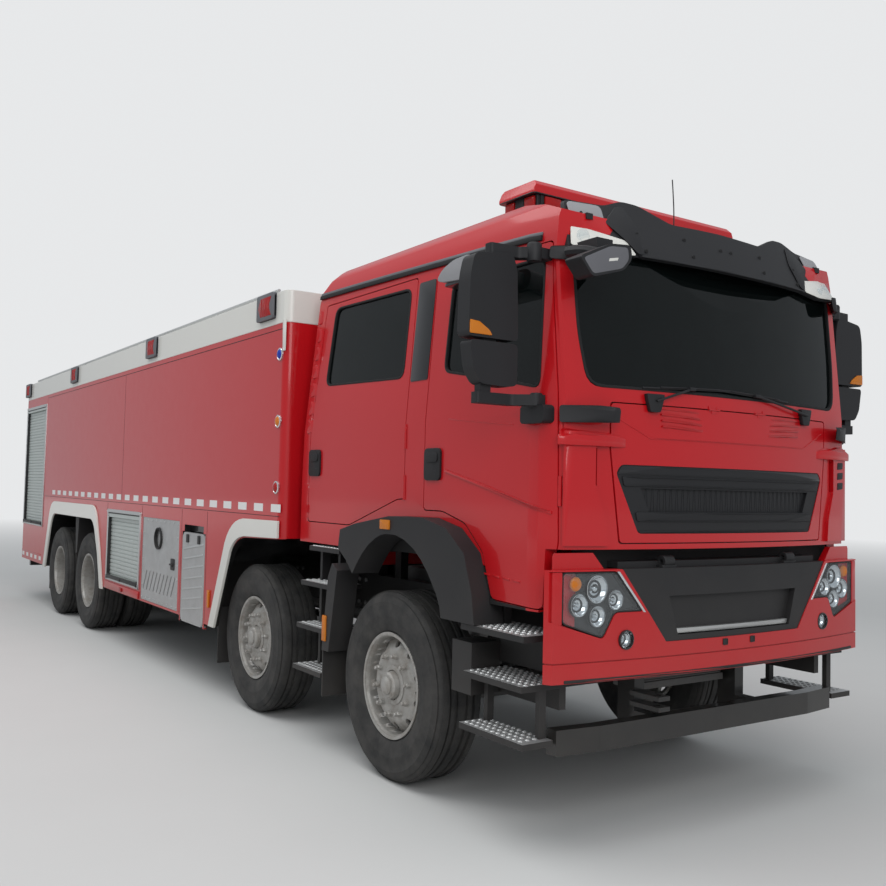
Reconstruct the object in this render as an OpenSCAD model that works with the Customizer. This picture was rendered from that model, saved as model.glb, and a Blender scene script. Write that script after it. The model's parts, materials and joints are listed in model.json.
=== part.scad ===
// Eight-wheeled fire tanker: four-door tilt cab ahead of a tank body with lockers.
// Every piece is drawn with x = 0 over the first axle, x forward, y to the vehicle's
// left and z up from the ground. placed() then moves it so that the origin lies
// under the middle of the whole vehicle.

/* [Wheels and axles] */
// Tyre diameter
tyre_d = 1076; // [1060:2:1090]
// Tyre width
tyre_w = 312; // [300:2:316]
// Distance between the middles of the front tyres
front_track = 2040; // [2030:5:2060]
// Distance between the middles of the twin tyres of the two sides
rear_track = 1830; // [1820:2:1836]
// Distance between the two tyres of a twin
twin_gap = 335; // [330:1:340]
// First to second axle
axle_2 = 1950; // [1940:5:1955]
// First to third axle
axle_3 = 6550; // [6530:5:6560]
// First to fourth axle
axle_4 = 7940; // [7930:5:7960]

/* [Cab] */
// Width of the cab over its doors
cab_w = 2280; // [2260:5:2290]
// Front of the cab's nose, ahead of the first axle
cab_front = 1500; // [1495:1:1510]
// Thickness of the cab's walls and doors
wall = 65; // [60:1:70]
// Height of the cab's roof at its middle
cab_top = 3180; // [3170:5:3190]
// Top of the cab's floor
floor_z = 1430; // [1425:1:1440]
// Gap round doors and lids
gap = 6; // [5.5:0.5:7]
// Thickness of the window glass
glass_t = 6; // [5:1:8]

/* [Body] */
// Width of the tank body
body_w = 2500; // [2490:2:2510]
// Front face of the body, behind the first axle
body_front = 1335; // [1330:1:1340]
// Rear face of the body, behind the first axle
body_rear = 10220; // [10200:5:10240]
// Top of the red part of the body
band_z = 2800; // [2790:5:2810]
// Top of the white roof gallery
gallery_z = 3030; // [3020:5:3040]
// Lowest edge of the lockers
skirt_z = 540; // [535:1:560]
// Depth of the lockers beside the frame
locker_depth = 420; // [400:5:430]
// Pitch of the roller shutters' slats
slat = 40; // [38:1:44]

/* [Chassis] */
// Outer distance over the two frame rails
frame_w = 850; // [840:2:856]
// Top of the frame rails
frame_z = 1020; // [1016:1:1024]
// Height of a frame rail
rail_h = 270; // [260:2:280]

/* [Front] */
// Half width of the bumper
bumper_half = 1210; // [1205:1:1215]
// How far the bumper stands ahead of the cab's nose
bumper_out = 20; // [15:1:25]
// Thickness of the bumper's wall
bumper_t = 50; // [45:1:55]

/* [Roof monitor] */
// How far behind the first axle the monitor stands
monitor_x = 8600; // [8500:10:8700]
// Length of the barrel from its pivot
barrel_l = 900; // [850:10:950]

/* [Hidden] */
$fn = 64;

// Places worked out from the sizes above
origin_x = 4350;
wheel_z = tyre_d / 2;
front_y = front_track / 2;
kingpin_in = 150;
kingpin_y = front_y - kingpin_in;
inner_y = (rear_track - twin_gap) / 2;
outer_y = (rear_track + twin_gap) / 2;
cab_half = cab_w / 2;
body_half = body_w / 2;
rail_y = frame_w / 2;
cab_bow_r = 5200;
bumper_bow_r = 7000;
corner_r = 300;
rake = 5.7;
belt_z = 2120;
hinge_x = cab_front - 140;
rear_hinge_x = 90;
pivot_flap_z = 2100;
board_z = 500;
board_x0 = -3310;
board_x1 = -2770;
board_h = 750;
board_t = 40;
board_pin_y = body_half - 12;
board_pin_z = board_z + 12;
board_pin_r = 8;
bore_fit = 0.8;
pin_r = 22;
stub_r = 45;
spigot_r = 60;
barrel_pin_r = 15;
spindle_r = 60;
trunnion_r = 50;
seat_gap = 0.3;

// Arc that leaves a towards b and arrives at c
function curve(a, b, c, n = 6) = [for (k = [0:n]) let (u = k / n)
    a * (1 - u) * (1 - u) + b * 2 * u * (1 - u) + c * u * u];

// Corner cutting: every corner of an outline replaced by an arc that starts r before it
function rounded(p, r, n = 4) = [for (i = [0:len(p) - 1])
    let (a = p[(i + len(p) - 1) % len(p)], b = p[i], c = p[(i + 1) % len(p)],
        s = b + (a - b) * min(r / norm(a - b), 0.49),
        e = b + (c - b) * min(r / norm(c - b), 0.49))
    for (k = [0:n]) let (u = k / n) s * (1 - u) * (1 - u) + b * 2 * u * (1 - u) + e * u * u];

module placed() { translate([origin_x, 0, 0]) children(); }

// A profile of (radius, y) spun about the y axis, its outer side towards +y
module spin_y(f = 96) { rotate([-90, 0, 0]) rotate_extrude($fn = f) children(); }

// An outline of (x, z) made solid from y0 to y1
module slab_y(y0, y1) {
    translate([0, y1, 0]) rotate([90, 0, 0]) linear_extrude(y1 - y0) children();
}

// An outline of (y, z) made solid from x0 to x1
module slab_x(x0, x1) {
    translate([x0, 0, 0]) rotate([90, 0, 90]) linear_extrude(x1 - x0) children();
}

module both_sides() {
    children();
    mirror([0, 1, 0]) children();
}

module on_side(side) { mirror([0, side > 0 ? 0 : 1, 0]) children(); }

// A box from its lowest to its highest corner
module block(a, b) { translate(a) cube([b[0] - a[0], b[1] - a[1], b[2] - a[2]]); }

// A rectangle with round corners, from its lowest to its highest corner
module round_rect(a, b, r) {
    translate([a[0] + r, a[1]]) square([b[0] - a[0] - 2 * r, b[1] - a[1]]);
    translate([a[0], a[1] + r]) square([b[0] - a[0], b[1] - a[1] - 2 * r]);
    for (x = [a[0] + r, b[0] - r], y = [a[1] + r, b[1] - r])
        translate([x, y]) circle(r = r, $fn = 32);
}

// Upright hinge on a door: its axis at (x, y), the pin 60 long above z
hinge_z = [1640, 1930];
hinge_pin_r = 4;
module hinge_fixed(x, y, r) {
    for (z = hinge_z) translate([x, y, z]) {
        translate([0, 0, -40]) cylinder(r = r, h = 39.8);
        translate([0, 0, 60.2]) cylinder(r = r, h = 39.8);
        translate([0, 0, -10]) cylinder(r = hinge_pin_r, h = 80);
    }
}

module hinge_room_for_fixed(x, y, r) {
    for (z = hinge_z) translate([x, y, z]) {
        translate([0, 0, -42]) cylinder(r = r + 1.5, h = 42.6);
        translate([0, 0, 59.4]) cylinder(r = r + 1.5, h = 42.6);
    }
}

module hinge_moving(x, y, r) {
    for (z = hinge_z) difference() {
        union() {
            translate([x, y, z + 0.8]) cylinder(r = r, h = 58.4);
            block([x - 26, y - 7, z + 2], [x - 2, y + 1, z + 58]);
        }
        translate([x, y, z - 5]) cylinder(r = hinge_pin_r + bore_fit, h = 70);
    }
}

module hinge_room_for_moving(x, y, r) {
    for (z = hinge_z) translate([x, y, z]) cylinder(r = r + 1.5, h = 60);
}

// Wheels
module tyre_profile() {
    h = tyre_w / 2;
    r = tyre_d / 2;
    polygon([[290, -111], [299, -112], [312, -h + 24], [360, -h + 6], [430, -h],
        [490, -h + 6], [522, -h + 22], [r, -h + 46], [r, h - 46], [522, h - 22],
        [490, h - 6], [430, h], [360, h - 6], [312, h - 24], [299, 112], [290, 111]]);
}

module barrel_profile() {
    polygon([[298, 128], [298, 117], [290, 112], [290, -112], [298, -117], [298, -128],
        [279, -128], [272, -104], [272, 104], [279, 128]]);
}

// Ten round hand holes through a wheel disc
module hand_holes(y0, y1, r) {
    for (i = [0:9]) rotate([0, i * 36 + 18, 0])
        translate([r, y1, 0]) rotate([90, 0, 0]) cylinder(r = 21, h = y1 - y0, $fn = 24);
}

// Front wheel: rim, disc that bulges outwards, hub and brake drum
module front_rim() {
    color("silver") difference() {
        spin_y() union() {
            barrel_profile();
            polygon([[275, 14], [275, 34], [236, 78], [196, 104], [120, 104], [120, 92],
                [190, 92], [226, 66], [256, 14]]);
            polygon([[stub_r + bore_fit, -50], [stub_r + bore_fit, 66], [0, 66], [0, 152],
                [66, 152], [76, 142], [80, 104], [170, 104], [170, 84], [110, 60],
                [110, 4], [206, 4], [206, -118], [190, -118], [190, -10], [96, -10],
                [96, -50]]);
        }
        hand_holes(0, 120, 232);
    }
}

// Twin wheel: two rims back to back on one hub with its drum
module twin_rim() {
    mid = rear_track / 2;
    s = spindle_r + bore_fit;
    color("silver") difference() {
        spin_y() union() {
            translate([0, inner_y]) barrel_profile();
            translate([0, outer_y]) barrel_profile();
            polygon([[275, mid - 70], [275, mid - 50], [205, mid], [120, mid],
                [120, mid - 12], [196, mid - 12], [256, mid - 70]]);
            polygon([[275, mid + 70], [275, mid + 50], [205, mid], [120, mid],
                [120, mid + 12], [196, mid + 12], [256, mid + 70]]);
            polygon([[s, inner_y - 110], [s, mid + 90], [0, mid + 90], [0, mid + 150],
                [90, mid + 150], [104, mid + 136], [108, mid + 12], [140, mid + 12],
                [140, mid - 30], [206, mid - 100], [206, inner_y - 120],
                [190, inner_y - 120], [190, mid - 130], [100, mid - 130],
                [100, inner_y - 110]]);
        }
        hand_holes(mid - 90, mid + 90, 238);
    }
}

module front_tyre() { color([0.13, 0.13, 0.13]) spin_y(128) tyre_profile(); }

module twin_tyre() {
    color([0.13, 0.13, 0.13]) for (y = [inner_y, outer_y])
        translate([0, y, 0]) spin_y(128) tyre_profile();
}

module front_wheel_at(x, side) {
    translate([-x, 0, wheel_z]) on_side(side) translate([0, front_y, 0]) children();
}

module twin_at(x, side) { translate([-x, 0, wheel_z]) on_side(side) children(); }

// Steering
arm_x = -230;
arm_y = -70;
module knuckle() {
    color([0.2, 0.2, 0.2]) {
        difference() {
            union() {
                cylinder(r = pin_r, h = 240, center = true);
                for (z = [64, -100]) translate([0, 0, z]) cylinder(r = 50, h = 36);
                for (z = [64, -100]) block([-40, 0, z], [40, 66, z + 36]);
                block([-62, 62, -100], [62, 92, 100]);
                translate([0, 90, 0]) rotate([-90, 0, 0])
                    cylinder(r = stub_r, h = kingpin_in - 90 + 58);
                translate([0, 0, -100]) linear_extrude(34)
                    polygon([[0, 40], [-40, 40], [arm_x - 10, arm_y + 34],
                        [arm_x - 10, arm_y - 30], [-30, -44], [0, -44]]);
                translate([arm_x, arm_y, -100]) cylinder(r = 36, h = 34);
            }
            translate([arm_x, arm_y, -101]) cylinder(r = 12 + bore_fit, h = 36);
        }
    }
}

module knuckle_at(x, side) {
    translate([-x, 0, wheel_z]) on_side(side) translate([0, kingpin_y, 0]) knuckle();
}

// Rod that keeps the two wheels of one axle parallel; its right eye lies loose on the arm
module tie_rod(x) {
    y = kingpin_y + arm_y;
    translate([arm_x - x, 0, wheel_z]) color([0.2, 0.2, 0.2]) {
        translate([0, y, -40]) rotate([90, 0, 0]) cylinder(r = 20, h = 2 * y);
        for (s = [-1, 1]) translate([0, s * y, -64]) cylinder(r = 27, h = 52);
        translate([0, y, -96]) cylinder(r = 12, h = 40);
    }
}

// Axles and springs
// Height of the drive shaft at the gearbox, and how steeply it falls
shaft_z = 760;
shaft_dip = atan((shaft_z - wheel_z) / 4860);
// Outline of a leaf pack as (x, z): n leaves, each shorter than the one above it, its
// middle at z = 0 and its ends bent up by rise
module leaf_pack(half_l, rise, leaf_t, n) {
    function bend(x) = rise * pow(x / half_l, 2);
    function tip(i) = half_l * (1 - 0.14 * i);
    last = tip(n - 1);
    polygon(concat(
        [for (k = [-6:6]) [half_l * k / 6, bend(half_l * k / 6)]],
        [for (i = [0:n - 1], e = i == 0 ? [1] : [0, 1])
            [tip(i), bend(tip(i)) - leaf_t * (i + e)]],
        [for (k = [5:-1:-5]) [last * k / 6, bend(last * k / 6) - leaf_t * n]],
        [for (i = [n - 1:-1:0], e = i == 0 ? [1] : [1, 0])
            [-tip(i), bend(tip(i)) - leaf_t * (i + e)]]));
}

module beam_axle() {
    drop = 65;
    difference() {
        union() {
            both_sides() translate([0, kingpin_y, -60]) cylinder(r = 56, h = 120);
            // Forged beam, bent down between the spring seats
            slab_x(-50, 50) polygon([[-kingpin_y, -52], [-kingpin_y, 52], [-700, 46],
                [-560, -drop + 55], [560, -drop + 55], [700, 46], [kingpin_y, 52],
                [kingpin_y, -52], [700, -56], [560, -drop - 60], [-560, -drop - 60],
                [-700, -56]]);
            for (s = [-1, 1]) translate([0, s * 450, 0]) {
                block([-90, -50, -drop + 50], [90, 50, -drop + 76]);
                slab_y(-40, 40) translate([0, 68]) leaf_pack(800, 120, 19, 3);
                block([-70, -48, 66], [70, 48, 88]);
            }
        }
        both_sides() translate([0, kingpin_y, -70]) cylinder(r = pin_r + bore_fit, h = 140);
    }
}

module front_axles() {
    color([0.2, 0.2, 0.2]) for (x = [0, axle_2])
        translate([-x, 0, wheel_z]) beam_axle();
}

module rear_axle() {
    difference() {
        union() {
            rotate([-90, 0, 0]) cylinder(r = 80, h = 2 * inner_y - 280, center = true);
            rotate([-90, 0, 0]) cylinder(r = spindle_r, h = rear_track + 170, center = true);
            axle_bowl();
        }
    }
}

module axle_bowl() {
    rotate([0, 90, 0]) cylinder(r = 205, h = 150, center = true);
    translate([75, 0, 0]) rotate([0, 90, 0]) cylinder(r1 = 205, r2 = 110, h = 140);
    translate([-75, 0, 0]) rotate([0, -90, 0]) cylinder(r1 = 205, r2 = 150, h = 70);
}

module rear_axles() {
    color([0.2, 0.2, 0.2]) {
        for (x = [axle_3, axle_4]) translate([-x, 0, wheel_z]) rear_axle();
        // Bogie springs ride on a trunnion between the axles
        mid = (axle_3 + axle_4) / 2;
        for (s = [-1, 1]) translate([-mid, s * 455, wheel_z]) {
            slab_y(-45, 45) translate([0, 150]) leaf_pack(760, -62, 22, 4);
            rotate([-90, 0, 0]) cylinder(r = 70, h = 100, center = true);
        }
        translate([-mid, 0, wheel_z]) rotate([-90, 0, 0])
            cylinder(r = trunnion_r, h = 900, center = true);
        // Shaft from the gearbox to the third axle, and on to the fourth
        translate([-1500.3, 0, shaft_z]) rotate([0, -90, 0]) cylinder(r = 74, h = 40);
        translate([-1520, 0, shaft_z]) rotate([0, -90 - shaft_dip, 0]) cylinder(r = 48, h = 4860);
        translate([-6690, 0, wheel_z + 102]) rotate([0, -90, 0]) cylinder(r = 44, h = 1150);
    }
}

// Chassis
module rail() {
    t = 10;
    flange = 80;
    polygon([[rail_y, frame_z - rail_h], [rail_y, frame_z], [rail_y - flange, frame_z],
        [rail_y - flange, frame_z - t], [rail_y - t, frame_z - t],
        [rail_y - t, frame_z - rail_h + t], [rail_y - flange, frame_z - rail_h + t],
        [rail_y - flange, frame_z - rail_h]]);
}

rail_front = 1150;
rail_back = 10060;
cross_x = [-1620, -2700, -3900, -5100, -6000, -7245, -8600, -9900];
bar_z = 500;
module chassis() {
    color([0.17, 0.17, 0.18]) {
        difference() {
            union() {
                both_sides() slab_x(-rail_back, rail_front) rail();
                for (x = cross_x) translate([x, 0, frame_z - rail_h / 2])
                    rotate([90, 0, 0]) cylinder(r = 60, h = frame_w - 20, center = true);
                // Hangers of the front springs
                for (x = [0, -axle_2], e = [-800, 800], s = [-1, 1])
                    block([x + e - 40, s * 450 - 42, wheel_z + 188.3],
                        [x + e + 40, s * 450 + 42, frame_z - rail_h + 60]);
                // Trunnion brackets of the bogie
                for (s = [-1, 1]) block([-(axle_3 + axle_4) / 2 - 90, s * 370 - 30, wheel_z - 90],
                    [-(axle_3 + axle_4) / 2 + 90, s * 370 + 30, frame_z - rail_h + 20]);
                // Front under-run bar with its ends swept back, and its brackets
                under_run_bar();
                both_sides() block([rail_front - 60, rail_y - 70, bar_z - 60],
                    [rail_front + 60, rail_y, frame_z - 20]);
                both_sides() block([rail_front, rail_y - 70, bar_z - 60],
                    [1290, rail_y, bar_z + 60]);
                // Horns that carry the bumper
                both_sides() block([rail_front - 10, rail_y - 60, 900], [1446.6, rail_y, 1000]);
                // Posts that carry the cab
                both_sides() for (x = [-1180, 1000])
                    block([x, rail_y - 70, frame_z - 20], [x + 80, rail_y - 10, floor_z - 70 - seat_gap]);
                // Front towing jaw
                block([1200, -450, 590], [1400, -370, 612]);
                block([1200, -450, 642], [1400, -370, 664]);
                // Rear cross beam with the towing jaw
                block([-rail_back - 20, -rail_y, frame_z - rail_h],
                    [-rail_back, rail_y, frame_z]);
                for (z = [800, 870]) block([-rail_back - 130, -60, z], [-rail_back, 60, z + 30]);
                // Rear under-run bar
                block([-rail_back - 70, -1150, 430], [-rail_back + 10, 1150, 530]);
                both_sides() block([-rail_back - 20, rail_y - 60, 520],
                    [-rail_back + 40, rail_y - 10, frame_z - rail_h + 20]);
            }
            translate([-(axle_3 + axle_4) / 2, 0, wheel_z]) rotate([90, 0, 0])
                cylinder(r = trunnion_r + bore_fit, h = 900, center = true);
            translate([1350, -410, 570]) cylinder(r = 20, h = 110);
            translate([-rail_back - 75, 0, 780]) cylinder(r = 20.5, h = 140);
        }
    }
}

module under_run_bar() {
    translate([0, 0, bar_z - 60]) linear_extrude(120)
        polygon([[1290, -800], [1360, -800], [1360, 800], [1290, 800]]);
    both_sides() translate([0, 0, bar_z - 60]) linear_extrude(120)
        polygon([[1290, 798], [1360, 798], [1330, 1050], [1260, 1050]]);
}

module engine() {
    color([0.3, 0.3, 0.3]) {
        block([-750, -330, 680], [820, 330, 1250]);
        block([-1500, -240, 690], [-750, 240, 1090]);
        // Feet on the frame rails, and the radiator ahead of the block
        for (x = [-560, 560]) block([x, -rail_y + 10 + seat_gap, 820],
            [x + 110, rail_y - 10 - seat_gap, 860]);
        block([820, -60, 800], [960, 60, 900]);
        block([960, -335, 640], [1130, 335, 1290]);
    }
}

module tanks() {
    color([0.5, 0.5, 0.52]) {
        // Fuel tank on the left, silencer box on the right, behind the locker panels
        translate([-4350, 0, 0]) slab_x(0, 900)
            round_rect([rail_y + seat_gap, 640], [780, 1010], 60);
        translate([-4300, 0, 0]) slab_x(0, 850)
            round_rect([-780, 640], [-rail_y - seat_gap, 1010], 60);
        // Air tanks between the rails
        for (y = [-180, 180]) translate([-3840 + seat_gap, y, frame_z - rail_h / 2])
            rotate([0, 90, 0]) cylinder(r = 120, h = 1080 - 2 * seat_gap);
    }
}

// Cab
cab_rear_top = -1170;
cab_rear_low = -1245;

// Plan of the cab, t inside its skin: a bowed front with round corners
module cab_plan(t) {
    intersection() {
        translate([cab_front - cab_bow_r, 0]) circle(r = cab_bow_r - t, $fn = 1440);
        union() {
            translate([-1700, -cab_half + t]) square([1700 + cab_front - corner_r, cab_w - 2 * t]);
            translate([-1700, -cab_half + corner_r])
                square([1700 + cab_front - t, cab_w - 2 * corner_r]);
            for (s = [-1, 1]) translate([cab_front - corner_r, s * (cab_half - corner_r)])
                circle(r = corner_r - t, $fn = 180);
        }
    }
}

// Side outline of the cab, t inside its skin; the underside stays where it is
module cab_side(t) {
    polygon([[cab_rear_low + t, 1290 - t], [cab_rear_low + t, 1700], [cab_rear_top + t, cab_top - 190 - t],
        [cab_rear_top + 130 + t, cab_top - 60 - t], [-800, cab_top - t], [500, cab_top - t],
        [900, cab_top - 40 - t], [1150, cab_top - 100 - t], [1330 - t, cab_top - 170 - t],
        [cab_front - 70 - t, belt_z + 600], [cab_front + 60 - t, belt_z], [cab_front + 60 - t, 1400 - t],
        [1310, 1400 - t], [1300, 1104 - t], [880, 1104 - t], [860, 1290 - t]]);
}

// Front outline of the cab: upright to the belt, leaning in above it, round roof edges
module cab_section(t) {
    r = [[cab_half + 30 - t, 1000 - t], [cab_half + 4 - t, 1980], [cab_half - 65 - t, 2900],
        [cab_half - 78 - t, 2985 - t / 2], [cab_half - 108 - t * 0.9, 3066 - t * 0.7],
        [cab_half - 168 - t * 0.7, cab_top - 48 - t * 0.9],
        [cab_half - 270 - t * 0.5, cab_top - 18 - t], [cab_half - 440, cab_top - 8 - t]];
    n = len(r) - 1;
    polygon(concat(r, [[0, cab_top - t]], [for (i = [n:-1:0]) [-r[i][0], r[i][1]]]));
}

module cab_solid(t) {
    // The upright and the raked front meet in a crease at the belt
    intersection() {
        translate([0, 0, 1000 - t]) linear_extrude(2400) cab_plan(t);
        translate([cab_front, 0, belt_z]) rotate([0, -rake, 0]) translate([-cab_front, 0, -1300])
            linear_extrude(2800) cab_plan(t);
        slab_y(-cab_half - 20, cab_half + 20) cab_side(t);
        slab_x(-1700, cab_front + 100) cab_section(t);
    }
}

// Outlines of the doors, g inside their openings, as (x, z)
module front_door_outline(g) {
    polygon(rounded([[290 + g, 2868 - g], [290 + g, 1545 + g], [480, 1545 + g], [690, 1490 + g],
        [850, 1350 + g], [930, 1125 + g], [1296, 1112 + g], [hinge_x + 10 - g, 1420],
        [hinge_x - g, 2120], [hinge_x - 74 - g, 2868 - g]], 30));
}

module rear_door_outline(g) {
    polygon(rounded([[-1060 + g, 2890 - g], [-1140 + g, 1900], [-1140 + g, 1425 + g],
        [-560, 1425 + g], [20, 1600 + g], [rear_hinge_x - g, 1600 + g],
        [rear_hinge_x - g, 2890 - g]], 30));
}

module front_window_outline(g) {
    polygon(rounded([[450 + g, 2800 - g], [435 + g, 2300 + g], [820, 2236 + g],
        [1268 - g, 2150 + g], [1238 - g, 2800 - g]], 60));
}

module rear_window_outline(g) {
    polygon(rounded([[-925 + g, 2856 - g], [-975 + g, 2330 + g], [20 - g, 2300 + g],
        [30 - g, 2840 - g]], 70));
}

module quarter_outline(g) {
    polygon(rounded([[130 + g, 2830 - g], [130 + g, 2290 + g], [262 - g, 2290 + g],
        [262 - g, 2830 - g]], 24));
}

module windscreen_outline(g) {
    polygon(rounded([[-960 + g, 2165 + g], [960 - g, 2165 + g], [1000 - g, 2420],
        [1008 - g, 2880 - g], [-1008 + g, 2880 - g], [-1000 + g, 2420]], 80));
}

side_in = 985;
module flap_outline(g) {
    h = g * 1.5;
    polygon(rounded([[-780 + h, 1425 + g], [780 - h, 1425 + g], [838 - h, 1880],
        [838 - h, pivot_flap_z - g], [-838 + h, pivot_flap_z - g], [-838 + h, 1880]], 20));
}

// Outline of the black grille in the flap, and of its mesh
module grille_outline(g) {
    polygon(rounded([[-666 + g, 1474 + g], [666 - g, 1474 + g], [798 - g, 1763],
        [770 - g, 1803 - g], [-770 + g, 1803 - g], [-798 + g, 1763]], 20));
}

module mesh_outline() { polygon([[-600, 1580], [600, 1580], [650, 1692], [-650, 1692]]); }

flap_t = 42;
fin_out = 18;
front_hinge_x = hinge_x + 10;
front_hinge_y = 1087;
rear_hinge_y = cab_half;
flap_pin_z = pivot_flap_z - 3;
// Knuckles of the flap's hinges, as y from and to on one side
flap_knuckle = [160, 200];

module flap_hinge_bar(y0, y1, r) {
    translate([cab_front, y1, flap_pin_z]) rotate([90, 0, 0]) cylinder(r = r, h = y1 - y0, $fn = 32);
}

module cab_shell() {
    k = flap_knuckle;
    color("firebrick") {
        difference() {
            union() {
                cab_solid(0);
                // Corner piece beside the flap, with a fin over the shoulder
                both_sides() intersection() {
                    cab_solid(-fin_out);
                    slab_x(1395, 1700) polygon(rounded([[1180, 1400], [1180, 1950], [985, 1950],
                        [866, 1935], [866, 1895], [925, 1885], [925, 1700], [866, 1540],
                        [850, 1400]], 12));
                }
            }
            intersection() {
                cab_solid(wall);
                block([-1600, -1300, floor_z], [1700, 1300, 3300]);
            }
            // Room for the engine under the floor, and for the wheels
            block([-1600, -700, 1000], [1700, 700, floor_z - 70]);
            block([-1600, -1300, 1000], [880, 1300, 1289]);
            both_sides() {
                slab_y(side_in, 1300) front_door_outline(0);
                slab_y(side_in, 1300) rear_door_outline(0);
                slab_y(side_in, 1300) quarter_outline(0);
                // Step well ahead of the wheel, and the wheel arch behind it
                block([900, 820, 1130], [1285, 1300, 1500]);
                block([1280, 820, 1090], [1330, 1300, 1399]);
                slab_y(flare_y0 - 20, 1300) polygon(concat([[-500, 1000]], flare_edge(seat_gap)));
                hinge_room_for_moving(front_hinge_x, front_hinge_y, 10);
                hinge_room_for_moving(rear_hinge_x, rear_hinge_y, 10);
                flap_hinge_bar(k[0] - 0.5, k[1] + 0.5, 6.5);
                // Slot beside the flap
                block([1380, 905, 1700], [1700, 924, 1876]);
            }
            slab_x(1100, 1700) windscreen_outline(0);
            slab_x(-1500, -1000) polygon([[-800, 2250], [800, 2250], [800, 2800], [-800, 2800]]);
            // Seat for the front flap
            intersection() {
                difference() { cab_solid(-10); cab_solid(flap_t + gap); }
                slab_x(1200, 1700) flap_outline(0);
            }
        }
        both_sides() {
            hinge_fixed(front_hinge_x, front_hinge_y, 10);
            hinge_fixed(rear_hinge_x, rear_hinge_y, 10);
            for (y = [[k[0] - 21, k[0] - 0.8], [k[1] + 0.8, k[1] + 21]]) {
                flap_hinge_bar(y[0], y[1], 5);
                block([cab_front - 16, y[0] + 1, pivot_flap_z - 1], [cab_front - 1, y[1] - 1, pivot_flap_z + 16]);
            }
            flap_hinge_bar(k[0] - 5, k[1] + 5, 2.4);
        }
    }
}

module door_slab() {
    difference() { cab_solid(0); cab_solid(wall); }
}

module front_door(side) {
    color("firebrick") on_side(side) {
        difference() {
            intersection() { door_slab(); slab_y(side_in, 1300) front_door_outline(gap); }
            slab_y(side_in, 1300) front_window_outline(0);
            hinge_room_for_fixed(front_hinge_x, front_hinge_y, 10);
        }
        hinge_moving(front_hinge_x, front_hinge_y, 10);
    }
}

module rear_door(side) {
    color("firebrick") on_side(side) {
        difference() {
            intersection() { door_slab(); slab_y(side_in, 1300) rear_door_outline(gap); }
            slab_y(side_in, 1300) rear_window_outline(0);
            hinge_room_for_fixed(rear_hinge_x, rear_hinge_y, 10);
        }
        hinge_moving(rear_hinge_x, rear_hinge_y, 10);
    }
}

module pane() {
    difference() { cab_solid(12); cab_solid(12 + glass_t); }
}

module front_glass(side) {
    color([0.1, 0.15, 0.15, 0.5]) on_side(side)
        intersection() { pane(); slab_y(side_in, 1300) front_window_outline(0.3); }
}

module rear_glass(side) {
    color([0.1, 0.15, 0.15, 0.5]) on_side(side)
        intersection() { pane(); slab_y(side_in, 1300) rear_window_outline(0.3); }
}

module cab_glass() {
    color([0.1, 0.15, 0.15, 0.5]) {
        intersection() { pane(); slab_x(1100, 1700) windscreen_outline(0.3); }
        both_sides() intersection() { pane(); slab_y(side_in, 1300) quarter_outline(0.3); }
        intersection() {
            pane();
            slab_x(-1500, -1000) polygon([[-799.7, 2250.3], [799.7, 2250.3], [799.7, 2799.7],
                [-799.7, 2799.7]]);
        }
    }
}

// Front flap below the windscreen, with its louvres and the black grille
grille_deep = 30;
module front_flap() {
    k = flap_knuckle;
    color("firebrick") difference() {
        union() {
            intersection() {
                difference() { cab_solid(0); cab_solid(flap_t); }
                slab_x(1200, 1700) flap_outline(gap);
            }
            both_sides() {
                flap_hinge_bar(k[0], k[1], 5);
                block([cab_front - 16, k[0] + 1, flap_pin_z - 19], [cab_front - 1, k[1] - 1, flap_pin_z - 1]);
            }
        }
        both_sides() {
            flap_hinge_bar(k[0] - 5, k[1] + 5, 2.4 + bore_fit);
            flap_hinge_bar(k[0] - 23, k[0] - 0.4, 6.5);
            flap_hinge_bar(k[1] + 0.4, k[1] + 23, 6.5);
        }
        intersection() {
            difference() { cab_solid(-10); cab_solid(grille_deep); }
            slab_x(1200, 1700) grille_outline(0);
        }
        // Louvres in two groups of three
        for (s = [-1, 1], i = [0:2]) translate([cab_front - 5, s * 400, 1985 + i * 30])
            rotate([s * 4, 25, s * 6]) cube([26, 270, 10], center = true);
    }
    color([0.1, 0.1, 0.1]) difference() {
        intersection() {
            difference() { cab_solid(4); cab_solid(grille_deep - seat_gap); }
            slab_x(1200, 1700) grille_outline(seat_gap);
        }
        intersection() {
            difference() { cab_solid(-10); cab_solid(20); }
            slab_x(1200, 1700) mesh_outline();
        }
    }
}

// Front end
module bumper_plan(t) {
    f = cab_front + bumper_out;
    r = 240;
    intersection() {
        translate([f - bumper_bow_r, 0]) circle(r = bumper_bow_r - t, $fn = 1440);
        union() {
            translate([1000, -bumper_half + t]) square([f - r - 1000, 2 * (bumper_half - t)]);
            translate([1000, -bumper_half + r]) square([f - t - 1000, 2 * (bumper_half - r)]);
            for (s = [-1, 1]) translate([f - r, s * (bumper_half - r)])
                circle(r = r - t, $fn = 128);
        }
    }
}

bumper_z0 = 795;
bumper_z1 = 1310;
bumper_back = 1385;
module headlamp_outline(g) {
    h = bumper_half;
    polygon(rounded([[h + 40, 1302 - g], [h - 398 + g, 1302 - g], [h - 558 + g, 1108 + g],
        [h - 390, 1108 + g], [h - 322, 988 + g], [h + 40, 1100 + g]], 22));
}

// Outline of the black panel in the middle of the bumper, and of its deeper field
module panel_outline(g) {
    h = bumper_half;
    polygon([[699 - h + g, 957 + g], [h - 699 - g, 957 + g], [h - 420 - g, 1320],
        [420 - h + g, 1320]]);
}

module panel_field() {
    h = bumper_half;
    polygon([[780 - h, 985], [h - 780, 985], [h - 722, 1175], [722 - h, 1175]]);
}

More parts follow.
